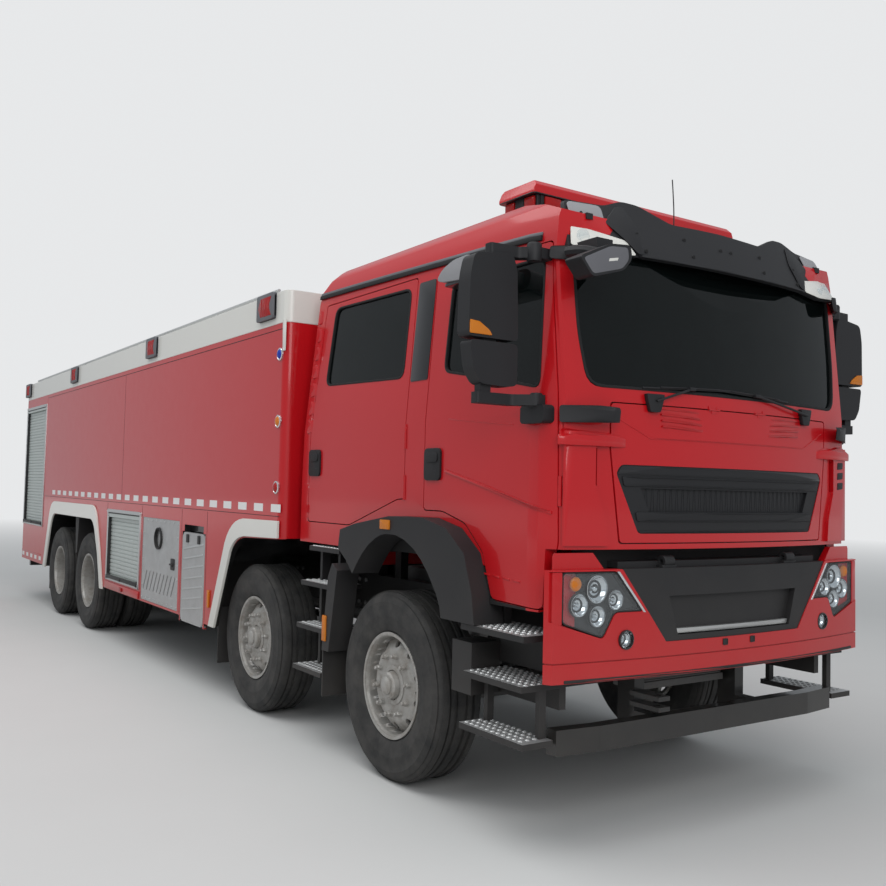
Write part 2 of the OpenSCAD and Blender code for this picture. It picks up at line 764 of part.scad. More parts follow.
module bumper() {
    color("firebrick") difference() {
        union() {
            translate([0, 0, bumper_z0]) linear_extrude(bumper_z1 - bumper_z0)
                difference() { bumper_plan(0); bumper_plan(bumper_t); }
            // Necks up to the cab's corners
            intersection() {
                translate([0, 0, bumper_z1 - 1]) linear_extrude(80)
                    difference() { bumper_plan(40); bumper_plan(bumper_t + 40); }
                both_sides() slab_x(1300, 1700)
                    polygon([[856, 1309], [1180, 1309], [1130, 1385], [920, 1385]]);
            }
        }
        slab_x(1300, 1700) panel_outline(0);
        block([900, -1300, 700], [bumper_back, 1300, 1400]);
        both_sides() slab_x(bumper_back + 20, 1700) headlamp_outline(0);
        both_sides() translate([1400, 757, 980]) rotate([0, 90, 0]) cylinder(r = 46, h = 200);
        // Seam between the upper and the lower bumper
        translate([0, 0, 884]) linear_extrude(6) difference() { bumper_plan(-10); bumper_plan(8); }
    }
}

module bumper_panel() {
    color([0.1, 0.1, 0.1]) difference() {
        intersection() {
            translate([0, 0, 950]) linear_extrude(bumper_z1 - 950)
                difference() { bumper_plan(5); bumper_plan(bumper_t + 10); }
            slab_x(1300, 1700) panel_outline(seat_gap);
        }
        intersection() {
            translate([0, 0, 950]) linear_extrude(300)
                difference() { bumper_plan(-5); bumper_plan(bumper_t - 10); }
            slab_x(1300, 1700) panel_field();
        }
    }
    // Top edge of the radiator shroud behind the panel
    color([0.1, 0.1, 0.1]) difference() {
        block([1340, -760, 1290], [1500, 760, 1340]);
        translate([0, 0, 1200]) linear_extrude(109.7) bumper_plan(-10);
        translate([0, 0, 1200]) linear_extrude(200)
            difference() { bumper_plan(-100); bumper_plan(60); }
    }
}

module headlamps() {
    color([0.85, 0.87, 0.9]) both_sides() {
        intersection() {
            translate([0, 0, 900]) linear_extrude(500)
                difference() { bumper_plan(6); bumper_plan(bumper_t); }
            slab_x(bumper_back + 22, 1700) headlamp_outline(2);
        }
    }
}

// Sun visor over the windscreen, with grey ends and the white lamp plates below them
visor_rake = 26;
visor_x = 1477;
module visor_skin(a, b) {
    translate([visor_x, 0, 2820]) rotate([0, -visor_rake, 0]) translate([-cab_front, 0, -60])
        linear_extrude(520) difference() { cab_plan(a); cab_plan(b); }
}

module visor() {
    color([0.16, 0.16, 0.17]) difference() {
        union() {
            intersection() {
                visor_skin(0, 24);
                slab_x(1100, 1700) polygon(rounded([[-1012, 2958], [-700, 2905], [-648, 2818],
                    [648, 2818], [700, 2905], [1012, 2958], [985, 3090], [760, 3090],
                    [640, 3134], [540, 3128], [350, 3050], [0, 3058], [-350, 3050],
                    [-540, 3128], [-640, 3134], [-760, 3090], [-985, 3090]], 28));
            }
            // Lamp plates
            both_sides() intersection() {
                visor_skin(6, 34);
                slab_x(1100, 1700) polygon([[1046, 2826], [1004, 2964], [694, 2912], [650, 2822],
                    [820, 2806]]);
            }
            // Stays between the visor and the roof's front edge
            for (y = [-900, -500, 500, 900]) block([1150, y - 20, 2985], [1340, y + 20, 3015]);
        }
        cab_solid(-seat_gap);
    }
    // Kerb mirror under the right end of the visor
    color([0.14, 0.14, 0.15]) {
        slab_x(1480, 1590) polygon(rounded([[-1185, 2716], [-1105, 2632], [-915, 2688],
            [-862, 2745], [-872, 2812], [-1000, 2800]], 24));
        difference() {
            slab_x(1330, 1500) polygon([[-1000, 2790], [-900, 2790], [-900, 2850], [-1000, 2850]]);
            cab_solid(-seat_gap);
        }
    }
}

// Roof light bar, its cover and its lamps under it
module light_bar() {
    color("firebrick") intersection() {
        slab_x(490, 800) polygon([[-810, 3272], [810, 3272], [810, 3290], [785, 3348],
            [-785, 3348], [-810, 3290]]);
        slab_y(-900, 900) polygon([[490, 3272], [490, 3330], [510, 3348], [770, 3348],
            [800, 3318], [800, 3272]]);
    }
    color("tomato") difference() {
        union() {
            block([505, -775, 3196], [785, 775, 3272.3]);
            for (y = [-560, 560]) block([560, y - 60, 3050], [730, y + 60, 3197]);
        }
        cab_solid(-seat_gap);
    }
}

// Mirrors, a tall head over a low one on two arms from the door
module mirrors(side) {
    color([0.14, 0.14, 0.15]) on_side(side) difference() {
        union() {
            slab_x(1140, 1232) polygon(rounded([[1240, 2366], [1527, 2366], [1522, 2650],
                [1500, 2752], [1279, 2780], [1252, 2700]], 30));
            slab_x(1150, 1232) polygon(rounded([[1242, 2158], [1290, 2148], [1450, 2152],
                [1494, 2215], [1518, 2352], [1242, 2352]], 24));
            block([1165, 1350, 2340], [1205, 1420, 2380]);
            // Upper arm from the top corner of the door's window frame
            translate([0, 0, 2765]) linear_extrude(52) polygon(rounded([[1215, 1050], [1283, 1050],
                [1287, 1100], [1290, 1185], [1226, 1240], [1220, 1400], [1165, 1400],
                [1165, 1230], [1226, 1150], [1215, 1100]], 14));
            // Lower arm from its base on the door
            slab_y(1100, 1172) round_rect([1170, 1985], [1342, 2072], 20);
            translate([0, 0, 2066]) linear_extrude(52) polygon(rounded([[1235, 1118], [1300, 1118],
                [1300, 1176], [1216, 1262], [1216, 1460], [1160, 1460], [1160, 1250],
                [1235, 1166]], 14));
            block([1165, 1380, 2100], [1210, 1440, 2170]);
        }
        cab_solid(-seat_gap);
    }
}

// Steps and flares
module tread(x0, x1, y0, y1, z) { block([x0, y0, z - 30], [x1, y1, z]); }

module cab_steps() {
    color([0.6, 0.6, 0.6]) both_sides() {
        tread(800, 1300, 960, 1230, 1000);
        tread(830, 1290, 960, 1230, 770);
        tread(830, 1330, 1070, 1250, 520);
        for (x = [860, 1260]) block([x, 1080, 519], [x + 30, 1120, 741]);
        block([660, 1000, 640], [829, 1180, 900]);
        block([829, 960, 800], [1300, 1000, 971]);
        block([829, 960, 640], [1290, 1000, 741]);
        for (x = [890, 1230]) block([x, 1010, 999], [x + 40, 1050, 1104 - seat_gap]);
        // Rear door steps
        tread(-1060, -640, 900, 1160, 1270);
        tread(-1110, -700, 960, 1190, 1040);
        tread(-1120, -720, 980, 1210, 760);
        tread(-1120, -720, 1000, 1230, 490);
        for (x = [-1050, -800]) block([x, 1020, 489], [x + 30, 1080, 1290 - seat_gap]);
    }
}

flare_y0 = 1060;
flare_y1 = 1245;

// Outer edge of the wheel flare, g outside it, as (x, z)
function flare_edge(g) = [[-500 - g, 1290], [-480 - g, 1405 + g], [-301 - g, 1448 + g],
    [94, 1507 + g], [449, 1511 + g], [667 + g, 1466 + g], [833 + g, 1348 + g],
    [908 + g, 1150], [930 + g, 1004]];
module flares() {
    color([0.18, 0.18, 0.19]) both_sides() {
        slab_y(flare_y0, flare_y1) polygon(concat(flare_edge(0),
            [[640, 1004], [626, 1060], [596, 1117], [505, 1228], [440, 1288], [365, 1340], [270, 1382],
             [173, 1405], [74, 1406], [10, 1396], [-53, 1373], [-130, 1330], [-200, 1275],
             [-262, 1210], [-311, 1150], [-388, 1222]]));
        slab_y(flare_y0 + 20, flare_y1 - 10) polygon([[-640, 1100], [-590, 1190], [-520, 1150],
            [-610, 640], [-700, 640]]);
        block([-620, flare_y0 + 30, 1140], [-560, flare_y0 + 60, 1290 - seat_gap]);
        // Rubber flap at the foot of the flare
        block([-706, flare_y0 - 60, 350], [-694, flare_y1 - 20, 700]);
        // Mud flaps behind the second and the fourth axle, and the shield between the rear wheels
        slab_y(860, 1190) polygon([[-2584.2, 500], [-2569.4, 690], [-2560, 690], [-2574, 480],
            [-2574, 250], [-2584.2, 250]]);
        slab_y(640, 1200) polygon([[-8559.2, 500], [-8530.2, 690], [-8520, 690], [-8549, 480],
            [-8549, 250], [-8559.2, 250]]);
        slab_y(700, 1190) polygon([[-7330, 1239.7], [-7160, 1239.7], [-7215, 800], [-7275, 800]]);
    }
}

// Inside the cab
module seat(x, y, w) {
    translate([x, y, floor_z]) {
        block([-230, -w / 2, 0], [200, w / 2, 250]);
        block([-250, -w / 2, 250], [250, w / 2, 400]);
        slab_y(-w / 2, w / 2) polygon([[-250, 400], [-130, 400], [-210, 1150], [-310, 1150]]);
    }
}

module seats() {
    color([0.15, 0.15, 0.17]) {
        for (y = [-650, 650]) seat(750, y, 520);
        seat(-770, 0, 1900);
    }
}

module dashboard() {
    color([0.2, 0.2, 0.21]) {
        intersection() {
            slab_y(-955, 955) polygon([[1130, 1700], [1100, 2050], [1200, 2130], [1480, 2110],
                [1480, 1700]]);
            cab_solid(wall + seat_gap);
        }
        translate([1050, 650, 2060]) rotate([0, -60, 0]) {
            rotate_extrude($fn = 48) translate([220, 0]) circle(r = 16, $fn = 16);
            translate([0, 0, -160]) cylinder(r = 30, h = 170);
            block([-212, -20, -8], [212, 20, 8]);
        }
    }
}

// Body
arch_z = 1240;
module body_profile(z0, z1) {
    r = 60;
    translate([0, 0, z0]) linear_extrude(z1 - z0)
        round_rect([-body_rear, -body_half], [-body_front, body_half], r);
}

// Openings over the wheels, as (x, z)
module front_arch(g) {
    polygon(rounded([[-1000, 1307 + g], [-2080 - g * 0.6, 1270 + g], [-2300 - g, 1080],
        [-2677 - g, 300], [-1000, 300]], 140, 5));
}

module front_well() {
    polygon([[-1200, 1300], [-2130, 1290], [-2330, 1200], [-2480, 1010], [-2565, 760],
        [-2585, 500], [-1200, 500]]);
}

module rear_arch(g) {
    polygon(rounded([[-5705 + g, 300], [-5960 + g, 900], [-6190 + g, 1215 + g], [-6300, 1240 + g],
        [-8100, 1240 + g], [-8240 - g, 1200 + g], [-8500 - g, 900], [-8590 - g, 300]], 90, 3));
}

shutter_depth = 50;
module shutter_opening(x0, x1, z0, z1, d) {
    block([x0, body_half - d, z0], [x1, body_half + 20, z1]);
}

// Columns: x from, x to, z from, z to
shutter_places = [[-10120, -8910, 1050, 2650], [-5640, -4540, 650, 1340]];
vent_place = [-4440, -3400, 560, 1335];
module body() {
    color("firebrick") difference() {
        union() {
            body_profile(1100, band_z);
            both_sides() intersection() {
                body_profile(skirt_z, 1101);
                block([-body_rear, body_half - locker_depth, skirt_z], [-body_front, body_half, 1101]);
            }
            intersection() {
                body_profile(skirt_z, 1101);
                block([-body_rear, -body_half, 660], [-10080.3, body_half, 1101]);
            }
            // Sills on the frame rails
            both_sides() block([-10000, rail_y - 80, frame_z + seat_gap],
                [-1400, rail_y, 1101]);
            // Ears of the step boards' hinges
            both_sides() for (x = [board_x0 - gap - 20, board_x1 + gap])
                block([x, board_pin_y - 16, board_z - 6], [x + 20, body_half, skirt_z + 1]);
        }
        block([-body_rear - 1, -100, 650], [-10000, 100, 960]);
        both_sides() translate([board_x0 - 40, board_pin_y, board_pin_z]) rotate([0, 90, 0])
            cylinder(r = board_pin_r + bore_fit, h = board_x1 - board_x0 + 80, $fn = 24);
        both_sides() {
            slab_y(body_half - 50, 1300) front_arch(0);
            slab_y(540, body_half - 49) front_well();
            slab_y(540, 1300) rear_arch(0);
            for (p = shutter_places) shutter_opening(p[0], p[1], p[2], p[3], shutter_depth);
            shutter_opening(vent_place[0], vent_place[1], vent_place[2], vent_place[3], 30);
            shutter_opening(board_x0 - gap, board_x1 + gap, board_z - gap, board_z + board_h + gap, 100);
            // Hand recess above the step board
            shutter_opening(board_x0 + 40, board_x1 - 40, board_z + board_h, 1314, 60);
        }
        // Rear shutter
        block([-body_rear - 10, -560, 1100], [-body_rear + shutter_depth, 560, 2500]);
        // Seam between the tank and the pump bay
        both_sides() block([-8859, body_half - 6, 1000], [-8851, body_half + 5, band_z]);
    }
}

// White gallery round the roof, its deck lower than its edge
module gallery() {
    deck = gallery_z - 120;
    color("white") difference() {
        body_profile(band_z, gallery_z);
        block([-body_rear + 120, -body_half + 160, deck], [-body_front - 120, body_half - 160, 3100]);
    }
    color("white") {
        for (x = [-3200, -6000]) translate([x, 0, deck - 1]) cylinder(r = 300, h = 80);
        translate([-monitor_x, 0, deck - 1]) difference() {
            cylinder(r = 120, h = 301);
            translate([0, 0, 150]) cylinder(r = spigot_r + bore_fit, h = 200);
        }
    }
}

module slats(x0, x1, z0, z1) {
    n = floor((z1 - z0 - 60) / slat);
    t0 = body_half - 34;
    translate([x0, 0, 0]) rotate([90, 0, 90]) linear_extrude(x1 - x0)
        polygon(concat([[t0 - 12, z0 + 40]],
            [for (i = [0:n - 1], k = [0:2])
                [t0 + [0, 9, 9][k], z0 + 40 + slat * i + [0, 8, slat - 8][k]]],
            [[t0, z0 + 40 + slat * n], [t0 - 12, z0 + 40 + slat * n]]));
    block([x0, body_half - 44, z0 + 1], [x1, body_half - 14, z0 + 39]);
    block([x0, body_half - 44, z0 + 41 + slat * n], [x1, body_half + 4, z1 - 0.5]);
}

module shutters() {
    color([0.72, 0.75, 0.74]) {
        both_sides() for (p = shutter_places) slats(p[0] + 0.5, p[1] - 0.5, p[2] + 0.5, p[3]);
        rear_shutter();
    }
}

module rear_shutter() {
    translate([body_half - body_rear, 0, 0]) rotate([0, 0, 90])
        slats(-559.5, 559.5, 1100.5, 2500);
}

module vent_panels() {
    p = vent_place;
    color([0.75, 0.75, 0.75]) difference() {
        both_sides() difference() {
            block([p[0] + 0.5, body_half - 29.7, p[2] + 0.5], [p[1] - 0.5, body_half - 2, p[3] - 0.5]);
            for (i = [0:8]) translate([p[0] + 110 + i * 100, body_half, p[2] + 190])
                rotate([0, 30, 0]) cube([18, 30, 210], center = true);
        }
        // Round outlet on the right side
        translate([p[0] + 485, -body_half + 15, p[3] - 180]) rotate([90, 0, 0]) cylinder(r = 100, h = 40);
    }
}

module arch_trims() {
    t0 = body_half + 0.3;
    t1 = body_half + 22;
    color("white") both_sides() {
        slab_y(t0, t1) polygon(concat([[-1350, 1420], [-1500, 1419]],
            curve([-1950, 1415], [-2190, 1400], [-2300, 1215]), [[-2600, 542], [-2482, 542]],
            curve([-2200, 1150], [-2120, 1272], [-1920, 1285]), [[-1350, 1300]]));
        slab_y(t0, t1) polygon(concat([[-5760, 518], [-5930, 960]],
            curve([-6060, 1220], [-6130, 1392], [-6300, 1398]),
            curve([-8140, 1395], [-8330, 1385], [-8400, 1240]), [[-8690, 526], [-8560, 526]],
            curve([-8330, 1060], [-8230, 1238], [-8090, 1240]),
            curve([-6330, 1240], [-6190, 1230], [-6120, 1100]), [[-5990, 880], [-5850, 518]]));
    }
}

module step_board(side) {
    color([0.78, 0.78, 0.78]) on_side(side) {
        slab_y(body_half - board_t, body_half)
            round_rect([board_x0, board_z], [board_x1, board_z + board_h], 60);
        for (x = [board_x0 - gap - 18, board_x1 - 80]) translate([x, board_pin_y, board_pin_z])
            rotate([0, 90, 0]) cylinder(r = board_pin_r, h = 98 + gap, $fn = 24);
    }
}

// Roof monitor
turret_z = gallery_z - 120 + 300;
module monitor_turret() {
    translate([-monitor_x, 0, 0]) color("firebrick") {
        translate([0, 0, turret_z - 100]) cylinder(r = spigot_r, h = 104);
        translate([0, 0, turret_z + 3]) cylinder(r = 110, h = 90);
        difference() {
            both_sides() block([-70, 85, turret_z + 80], [70, 110, turret_z + 240]);
            translate([0, 0, turret_z + 180]) rotate([90, 0, 0])
                cylinder(r = barrel_pin_r + bore_fit, h = 240, center = true);
        }
    }
}

module monitor_barrel() {
    translate([-monitor_x, 0, turret_z + 180]) color("firebrick") difference() {
        union() {
            rotate([90, 0, 0]) cylinder(r = 50, h = 156, center = true);
            rotate([90, 0, 0]) cylinder(r = barrel_pin_r, h = 222, center = true);
            rotate([0, 90, 0]) cylinder(r1 = 58, r2 = 42, h = barrel_l);
        }
        translate([60, 0, 0]) rotate([0, 90, 0]) cylinder(r1 = 42, r2 = 32, h = barrel_l);
    }
}

// Rear end
module rear_ladder() {
    x = -body_rear - 100;
    color([0.7, 0.7, 0.7]) {
        for (y = [620, 960]) translate([x, y, 700]) cylinder(r = 20, h = 2200, $fn = 24);
        for (z = [760:280:2800]) translate([x, 620, z]) rotate([-90, 0, 0])
            cylinder(r = 14, h = 340, $fn = 24);
        for (y = [620, 960], z = [800, 2700]) translate([x, y, z]) rotate([0, 90, 0])
            cylinder(r = 14, h = 99.7, $fn = 24);
    }
}

lamp_x = [-1655, -4328, -7358, -10084];
module lamps() {
    color([0.5, 0.1, 0.1]) {
        for (x = lamp_x) both_sides()
            block([x - 145, body_half + 0.3, 2850], [x + 145, body_half + 30, 3020]);
        both_sides() block([-body_rear - 30, 1000, 700], [-body_rear - 0.3, 1200, 1000]);
    }
}

placed() chassis();
placed() front_axles();
placed() rear_axles();
placed() engine();
placed() tanks();
placed() knuckle_at(0, 1);  // knuckle_1_left
placed() knuckle_at(0, -1);  // knuckle_1_right
placed() knuckle_at(axle_2, 1);  // knuckle_2_left
placed() knuckle_at(axle_2, -1);  // knuckle_2_right
placed() tie_rod(0);  // tie_rod_1
placed() tie_rod(axle_2);  // tie_rod_2
placed() front_wheel_at(0, 1) front_rim();  // rim_1_left
placed() front_wheel_at(0, -1) front_rim();  // rim_1_right
placed() front_wheel_at(axle_2, 1) front_rim();  // rim_2_left
placed() front_wheel_at(axle_2, -1) front_rim();  // rim_2_right
placed() twin_at(axle_3, 1) twin_rim();  // rim_3_left
placed() twin_at(axle_3, -1) twin_rim();  // rim_3_right
placed() twin_at(axle_4, 1) twin_rim();  // rim_4_left
placed() twin_at(axle_4, -1) twin_rim();  // rim_4_right
placed() front_wheel_at(0, 1) front_tyre();  // tyre_1_left
placed() front_wheel_at(0, -1) front_tyre();  // tyre_1_right
placed() front_wheel_at(axle_2, 1) front_tyre();  // tyre_2_left
placed() front_wheel_at(axle_2, -1) front_tyre();  // tyre_2_right
placed() twin_at(axle_3, 1) twin_tyre();  // tyre_3_left
placed() twin_at(axle_3, -1) twin_tyre();  // tyre_3_right
placed() twin_at(axle_4, 1) twin_tyre();  // tyre_4_left
placed() twin_at(axle_4, -1) twin_tyre();  // tyre_4_right
placed() cab_shell();
placed() cab_glass();
placed() front_door(1);  // door_front_left
placed() front_door(-1);  // door_front_right
placed() rear_door(1);  // door_rear_left
placed() rear_door(-1);  // door_rear_right
placed() front_glass(1);  // glass_front_left
placed() front_glass(-1);  // glass_front_right
placed() rear_glass(1);  // glass_rear_left
placed() rear_glass(-1);  // glass_rear_right
placed() mirrors(1);  // mirrors_left
placed() mirrors(-1);  // mirrors_right
placed() front_flap();
placed() bumper();
placed() bumper_panel();
placed() headlamps();
placed() visor();
placed() light_bar();
placed() cab_steps();
placed() flares();
placed() seats();
placed() dashboard();
placed() body();
placed() gallery();
placed() arch_trims();
placed() shutters();
placed() vent_panels();
placed() step_board(1);  // step_board_left
placed() step_board(-1);  // step_board_right
placed() monitor_turret();
placed() monitor_barrel();
placed() rear_ladder();
placed() lamps();
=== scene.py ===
"""Looks of an eight-wheeled fire tanker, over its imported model.

Lengths are metres in the model's own frame: x forward, y to the vehicle's left, z up from
the ground. Sizes taken from the vehicle's drawing count x from the first axle, which lies
at FIRST_AXLE in the frame.
"""
import json
import math

import bpy
from mathutils import Matrix, Vector

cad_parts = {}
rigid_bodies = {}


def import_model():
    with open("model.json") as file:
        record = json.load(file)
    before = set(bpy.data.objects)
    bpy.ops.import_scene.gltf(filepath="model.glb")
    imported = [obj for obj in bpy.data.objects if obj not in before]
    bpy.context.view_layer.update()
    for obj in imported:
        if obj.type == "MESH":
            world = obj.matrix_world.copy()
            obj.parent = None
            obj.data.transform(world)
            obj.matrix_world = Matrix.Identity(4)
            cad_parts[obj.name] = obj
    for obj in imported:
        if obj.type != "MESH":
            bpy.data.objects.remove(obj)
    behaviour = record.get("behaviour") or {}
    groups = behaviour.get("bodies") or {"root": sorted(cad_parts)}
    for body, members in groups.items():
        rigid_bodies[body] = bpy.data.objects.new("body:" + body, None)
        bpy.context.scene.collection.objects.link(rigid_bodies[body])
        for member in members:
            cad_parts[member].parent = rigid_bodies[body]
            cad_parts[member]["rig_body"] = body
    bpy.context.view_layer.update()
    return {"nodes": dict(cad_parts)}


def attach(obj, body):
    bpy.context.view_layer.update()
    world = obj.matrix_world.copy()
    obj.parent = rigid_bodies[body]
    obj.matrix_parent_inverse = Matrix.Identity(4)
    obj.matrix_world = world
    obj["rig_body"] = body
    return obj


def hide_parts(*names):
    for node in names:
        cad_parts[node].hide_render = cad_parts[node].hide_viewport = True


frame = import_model()

FIRST_AXLE = 4.350
SIDES = {"left": 1, "right": -1}


# Shader trees

class Wire:
    """One output socket of a shader tree, on which Python's operators work."""

    def __init__(self, tree, socket):
        self.tree = tree
        self.socket = socket

    def maths(self, operation, *values):
        return self.tree.node("ShaderNodeMath", {"operation": operation}, list(values))

    def __add__(self, other):
        return self.maths("ADD", self, other)

    __radd__ = __add__

    def __sub__(self, other):
        return self.maths("SUBTRACT", self, other)

    def __rsub__(self, other):
        return self.maths("SUBTRACT", other, self)

    def __mul__(self, other):
        return self.maths("MULTIPLY", self, other)

    __rmul__ = __mul__

    def __pow__(self, other):
        return self.maths("POWER", self, other)

    def __lt__(self, other):
        return self.maths("LESS_THAN", self, other)

    def __abs__(self):
        return self.maths("ABSOLUTE", self)

    def fraction(self):
        return self.maths("FRACT", self)

    def sine(self):
        return self.maths("SINE", self)

    def clamped(self):
        return self.maths("MAXIMUM", self.maths("MINIMUM", self, 1.0), 0.0)

    def ramp(self, low, high):
        """0 below low, 1 above high, and straight between them."""
        return self.tree.node(
            "ShaderNodeMapRange",
            {"clamp": True},
            {"Value": self, "From Min": low, "From Max": high, "To Min": 0.0, "To Max": 1.0},
        )


class Tree:
    """The node tree of one material."""

    def __init__(self, name):
        self.material = bpy.data.materials.new(name)
        self.material.use_nodes = True
        self.tree = self.material.node_tree
        self.tree.nodes.clear()
        self.place = self.node("ShaderNodeTexCoord", output="Object")

    def node(self, kind, settings=None, inputs=None, output=0):
        """Adds a node, its inputs given as wires or values, and returns one of its outputs."""
        node = self.tree.nodes.new(kind)
        for key, value in (settings or {}).items():
            setattr(node, key, value)
        pairs = inputs.items() if isinstance(inputs, dict) else enumerate(inputs or [])
        for key, value in pairs:
            if isinstance(value, Wire):
                self.tree.links.new(value.socket, node.inputs[key])
            else:
                node.inputs[key].default_value = value
        return Wire(self, node.outputs[output]) if node.outputs else None

    def axes(self):
        """The three parts of the place on the object."""
        node = self.node("ShaderNodeSeparateXYZ", {}, {"Vector": self.place}).socket.node
        return [Wire(self, node.outputs[i]) for i in range(3)]

    def noise(self, scale, detail=4.0, roughness=0.55, stretch=(1, 1, 1)):
        """Cloudy noise from 0 to 1 in the object's own frame."""
        place = self.node("ShaderNodeMapping", {}, {"Vector": self.place, "Scale": stretch})
        return self.node(
            "ShaderNodeTexNoise",
            {},
            {"Vector": place, "Scale": scale, "Detail": detail, "Roughness": roughness},
        )

    def mix(self, factor, first, second):
        """A colour between two colours."""
        return self.node(
            "ShaderNodeMix",
            {"data_type": "RGBA"},
            {0: factor, 6: first, 7: second},
            output=2,
        )

    def bump(self, height, distance):
        """The normal of a surface with a height map this many metres high."""
        return self.node(
            "ShaderNodeBump",
            {},
            {"Height": height, "Distance": distance, "Strength": 1.0},
        )

    def surface(self, **sockets):
        """The shader of the material, from the names of its sockets."""
        named = {key.replace("_", " "): value for key, value in sockets.items()}
        shader = self.node("ShaderNodeBsdfPrincipled", {}, named)
        self.node("ShaderNodeOutputMaterial", {}, {"Surface": shader})
        return self.material


def colour(red, green, blue):
    """An opaque colour."""
    return (red, green, blue, 1.0)


RED = colour(0.46, 0.004, 0.008)
DUST = colour(0.30, 0.27, 0.23)
BLACK = colour(0.0, 0.0, 0.0)
BACKDROP = colour(0.80, 0.81, 0.82)


def low_dust(tree, top=1.3):
    """How dusty a place is: most near the ground, in blotches."""
    height = tree.axes()[2]
    near_ground = 1 - height.ramp(0.3, top)
    return (near_ground * tree.noise(3.0, 6.0) * 0.8).clamped()


def paint(name, base, dust=0.3):
    """Glossy vehicle paint with a clear coat, slight waviness and road dust low down."""
    tree = Tree(name)
    patches = tree.noise(1.3, 3.0)
    shade = tree.mix(patches * 0.16, base, colour(base[0] * 0.8, base[1] * 0.8, base[2] * 0.8))
    dusty = low_dust(tree) * dust
    return tree.surface(
        Base_Color=tree.mix(dusty, shade, DUST),
        Roughness=0.34 + dusty * 0.4 + tree.noise(9.0, 3.0) * 0.06,
        Coat_Weight=(1 - dusty) * 0.55,
        Coat_Roughness=0.07,
        Specular_IOR_Level=0.22,
        Normal=tree.bump(tree.noise(2.2, 1.0), 0.0004),
    )


def plastic(name, base, rough=0.5, dust=0.5):
    """Moulded plastic with a fine grain."""
    tree = Tree(name)
    grains = tree.noise(900.0, 2.0)
    dusty = low_dust(tree, 1.6) * dust
    patches = tree.noise(4.0, 4.0)
    faded = tree.mix(patches * 0.35, base, colour(*[min(1, c * 1.8 + 0.01) for c in base[:3]]))
    return tree.surface(
        Base_Color=tree.mix(dusty, faded, DUST),
        Roughness=rough + patches * 0.12,
        Specular_IOR_Level=0.35,
        Normal=tree.bump(grains, 0.00025),
    )


def metal(name, base, rough=0.35, brushed=None, dust=0.4, metallic=0.9):
    """Bare or plated metal, brushed along one axis where stretch says so."""
    tree = Tree(name)
    stretch = brushed or (1, 1, 1)
    streaks = tree.noise(60.0, 4.0, 0.6, stretch)
    dusty = low_dust(tree, 1.2) * dust
    shade = tree.mix(streaks * 0.4, base, colour(*[c * 0.7 for c in base[:3]]))
    return tree.surface(
        Base_Color=tree.mix(dusty, shade, DUST),
        Metallic=metallic - dusty * 0.8,
        Roughness=rough + streaks * 0.15 + dusty * 0.3,
        Normal=tree.bump(streaks, 0.0002),
    )


def rubber(name):
    """Tyre rubber, greyed and dusty."""
    tree = Tree(name)
    blotches = tree.noise(7.0, 8.0, 0.65)
    fine = tree.noise(140.0, 5.0)
    shade = tree.mix(blotches.ramp(0.35, 0.75), colour(0.018, 0.018, 0.018), colour(0.058, 0.054, 0.050))
    return tree.surface(
        Base_Color=shade,
        Roughness=0.74 + fine * 0.15,
        Normal=tree.bump(fine, 0.0004),
    )


def wheel_paint(name):
    """Silver wheel paint under dried mud and brake dust."""
    tree = Tree(name)
    mud = tree.noise(11.0, 8.0, 0.7).ramp(0.42, 0.72)
    fine = tree.noise(160.0, 4.0)
    base = tree.mix(mud * 0.75, colour(0.40, 0.39, 0.37), colour(0.16, 0.13, 0.10))
    return tree.surface(
        Base_Color=base,
        Metallic=0.55 - mud * 0.5,
        Roughness=0.42 + mud * 0.35,
        Normal=tree.bump(fine * 0.5 + mud, 0.0012),
    )


def pane(name, tint):
    """Tinted glass that lets some light through."""
    tree = Tree(name)
    dusty = tree.noise(5.0, 6.0) * 0.10
    glass = tree.node(
        "ShaderNodeBsdfPrincipled",
        {},
        {"Base Color": tint, "Roughness": 0.03, "Metallic": 0.0, "Specular IOR Level": 0.40},
    )
    clear = tree.node("ShaderNodeBsdfTransparent", {}, {"Color": colour(0.20, 0.23, 0.225)})
    body = tree.node("ShaderNodeMixShader", {}, {0: 0.42 - dusty, 1: glass, 2: clear})
    tree.node("ShaderNodeOutputMaterial", {}, {"Surface": body})
    return tree.material


def lens(name, tint, through=0.35):
    """A clear or coloured lamp cover."""
    tree = Tree(name)
    glass = tree.node(
        "ShaderNodeBsdfPrincipled",
        {},
        {"Base Color": tint, "Roughness": 0.06},
    )
    clear = tree.node("ShaderNodeBsdfTransparent", {}, {"Color": tint})
    body = tree.node("ShaderNodeMixShader", {}, {0: through, 1: glass, 2: clear})
    tree.node("ShaderNodeOutputMaterial", {}, {"Surface": body})
    return tree.material


def tread_plate(name):
    """Aluminium plate with raised lozenges in two directions."""
    tree = Tree(name)
    x, y, z = tree.axes()
    a = ((x + y + z) * 28.0).fraction() - 0.5
    b = ((x - y - z) * 28.0).fraction() - 0.5
    bars = (abs(a) < 0.16) * (abs(b) < 0.40)
    shade = tree.mix(tree.noise(9.0, 6.0).ramp(0.4, 0.8) * 0.3, colour(0.46, 0.46, 0.46),
                     colour(0.26, 0.25, 0.24))
    return tree.surface(
        Base_Color=shade,
        Metallic=0.7,
        Roughness=0.38 + tree.noise(30.0) * 0.2,
        Normal=tree.bump(bars, 0.0025),
    )


def woven(name, base):
    """Seat cloth."""
    tree = Tree(name)
    x, y, z = tree.axes()
    threads = ((x + z) * 900.0).sine() * ((y - z) * 900.0).sine()
    return tree.surface(
        Base_Color=tree.mix(tree.noise(6.0), base, colour(*[c * 1.6 for c in base[:3]])),
        Roughness=0.92,
        Normal=tree.bump(threads, 0.0004),
    )


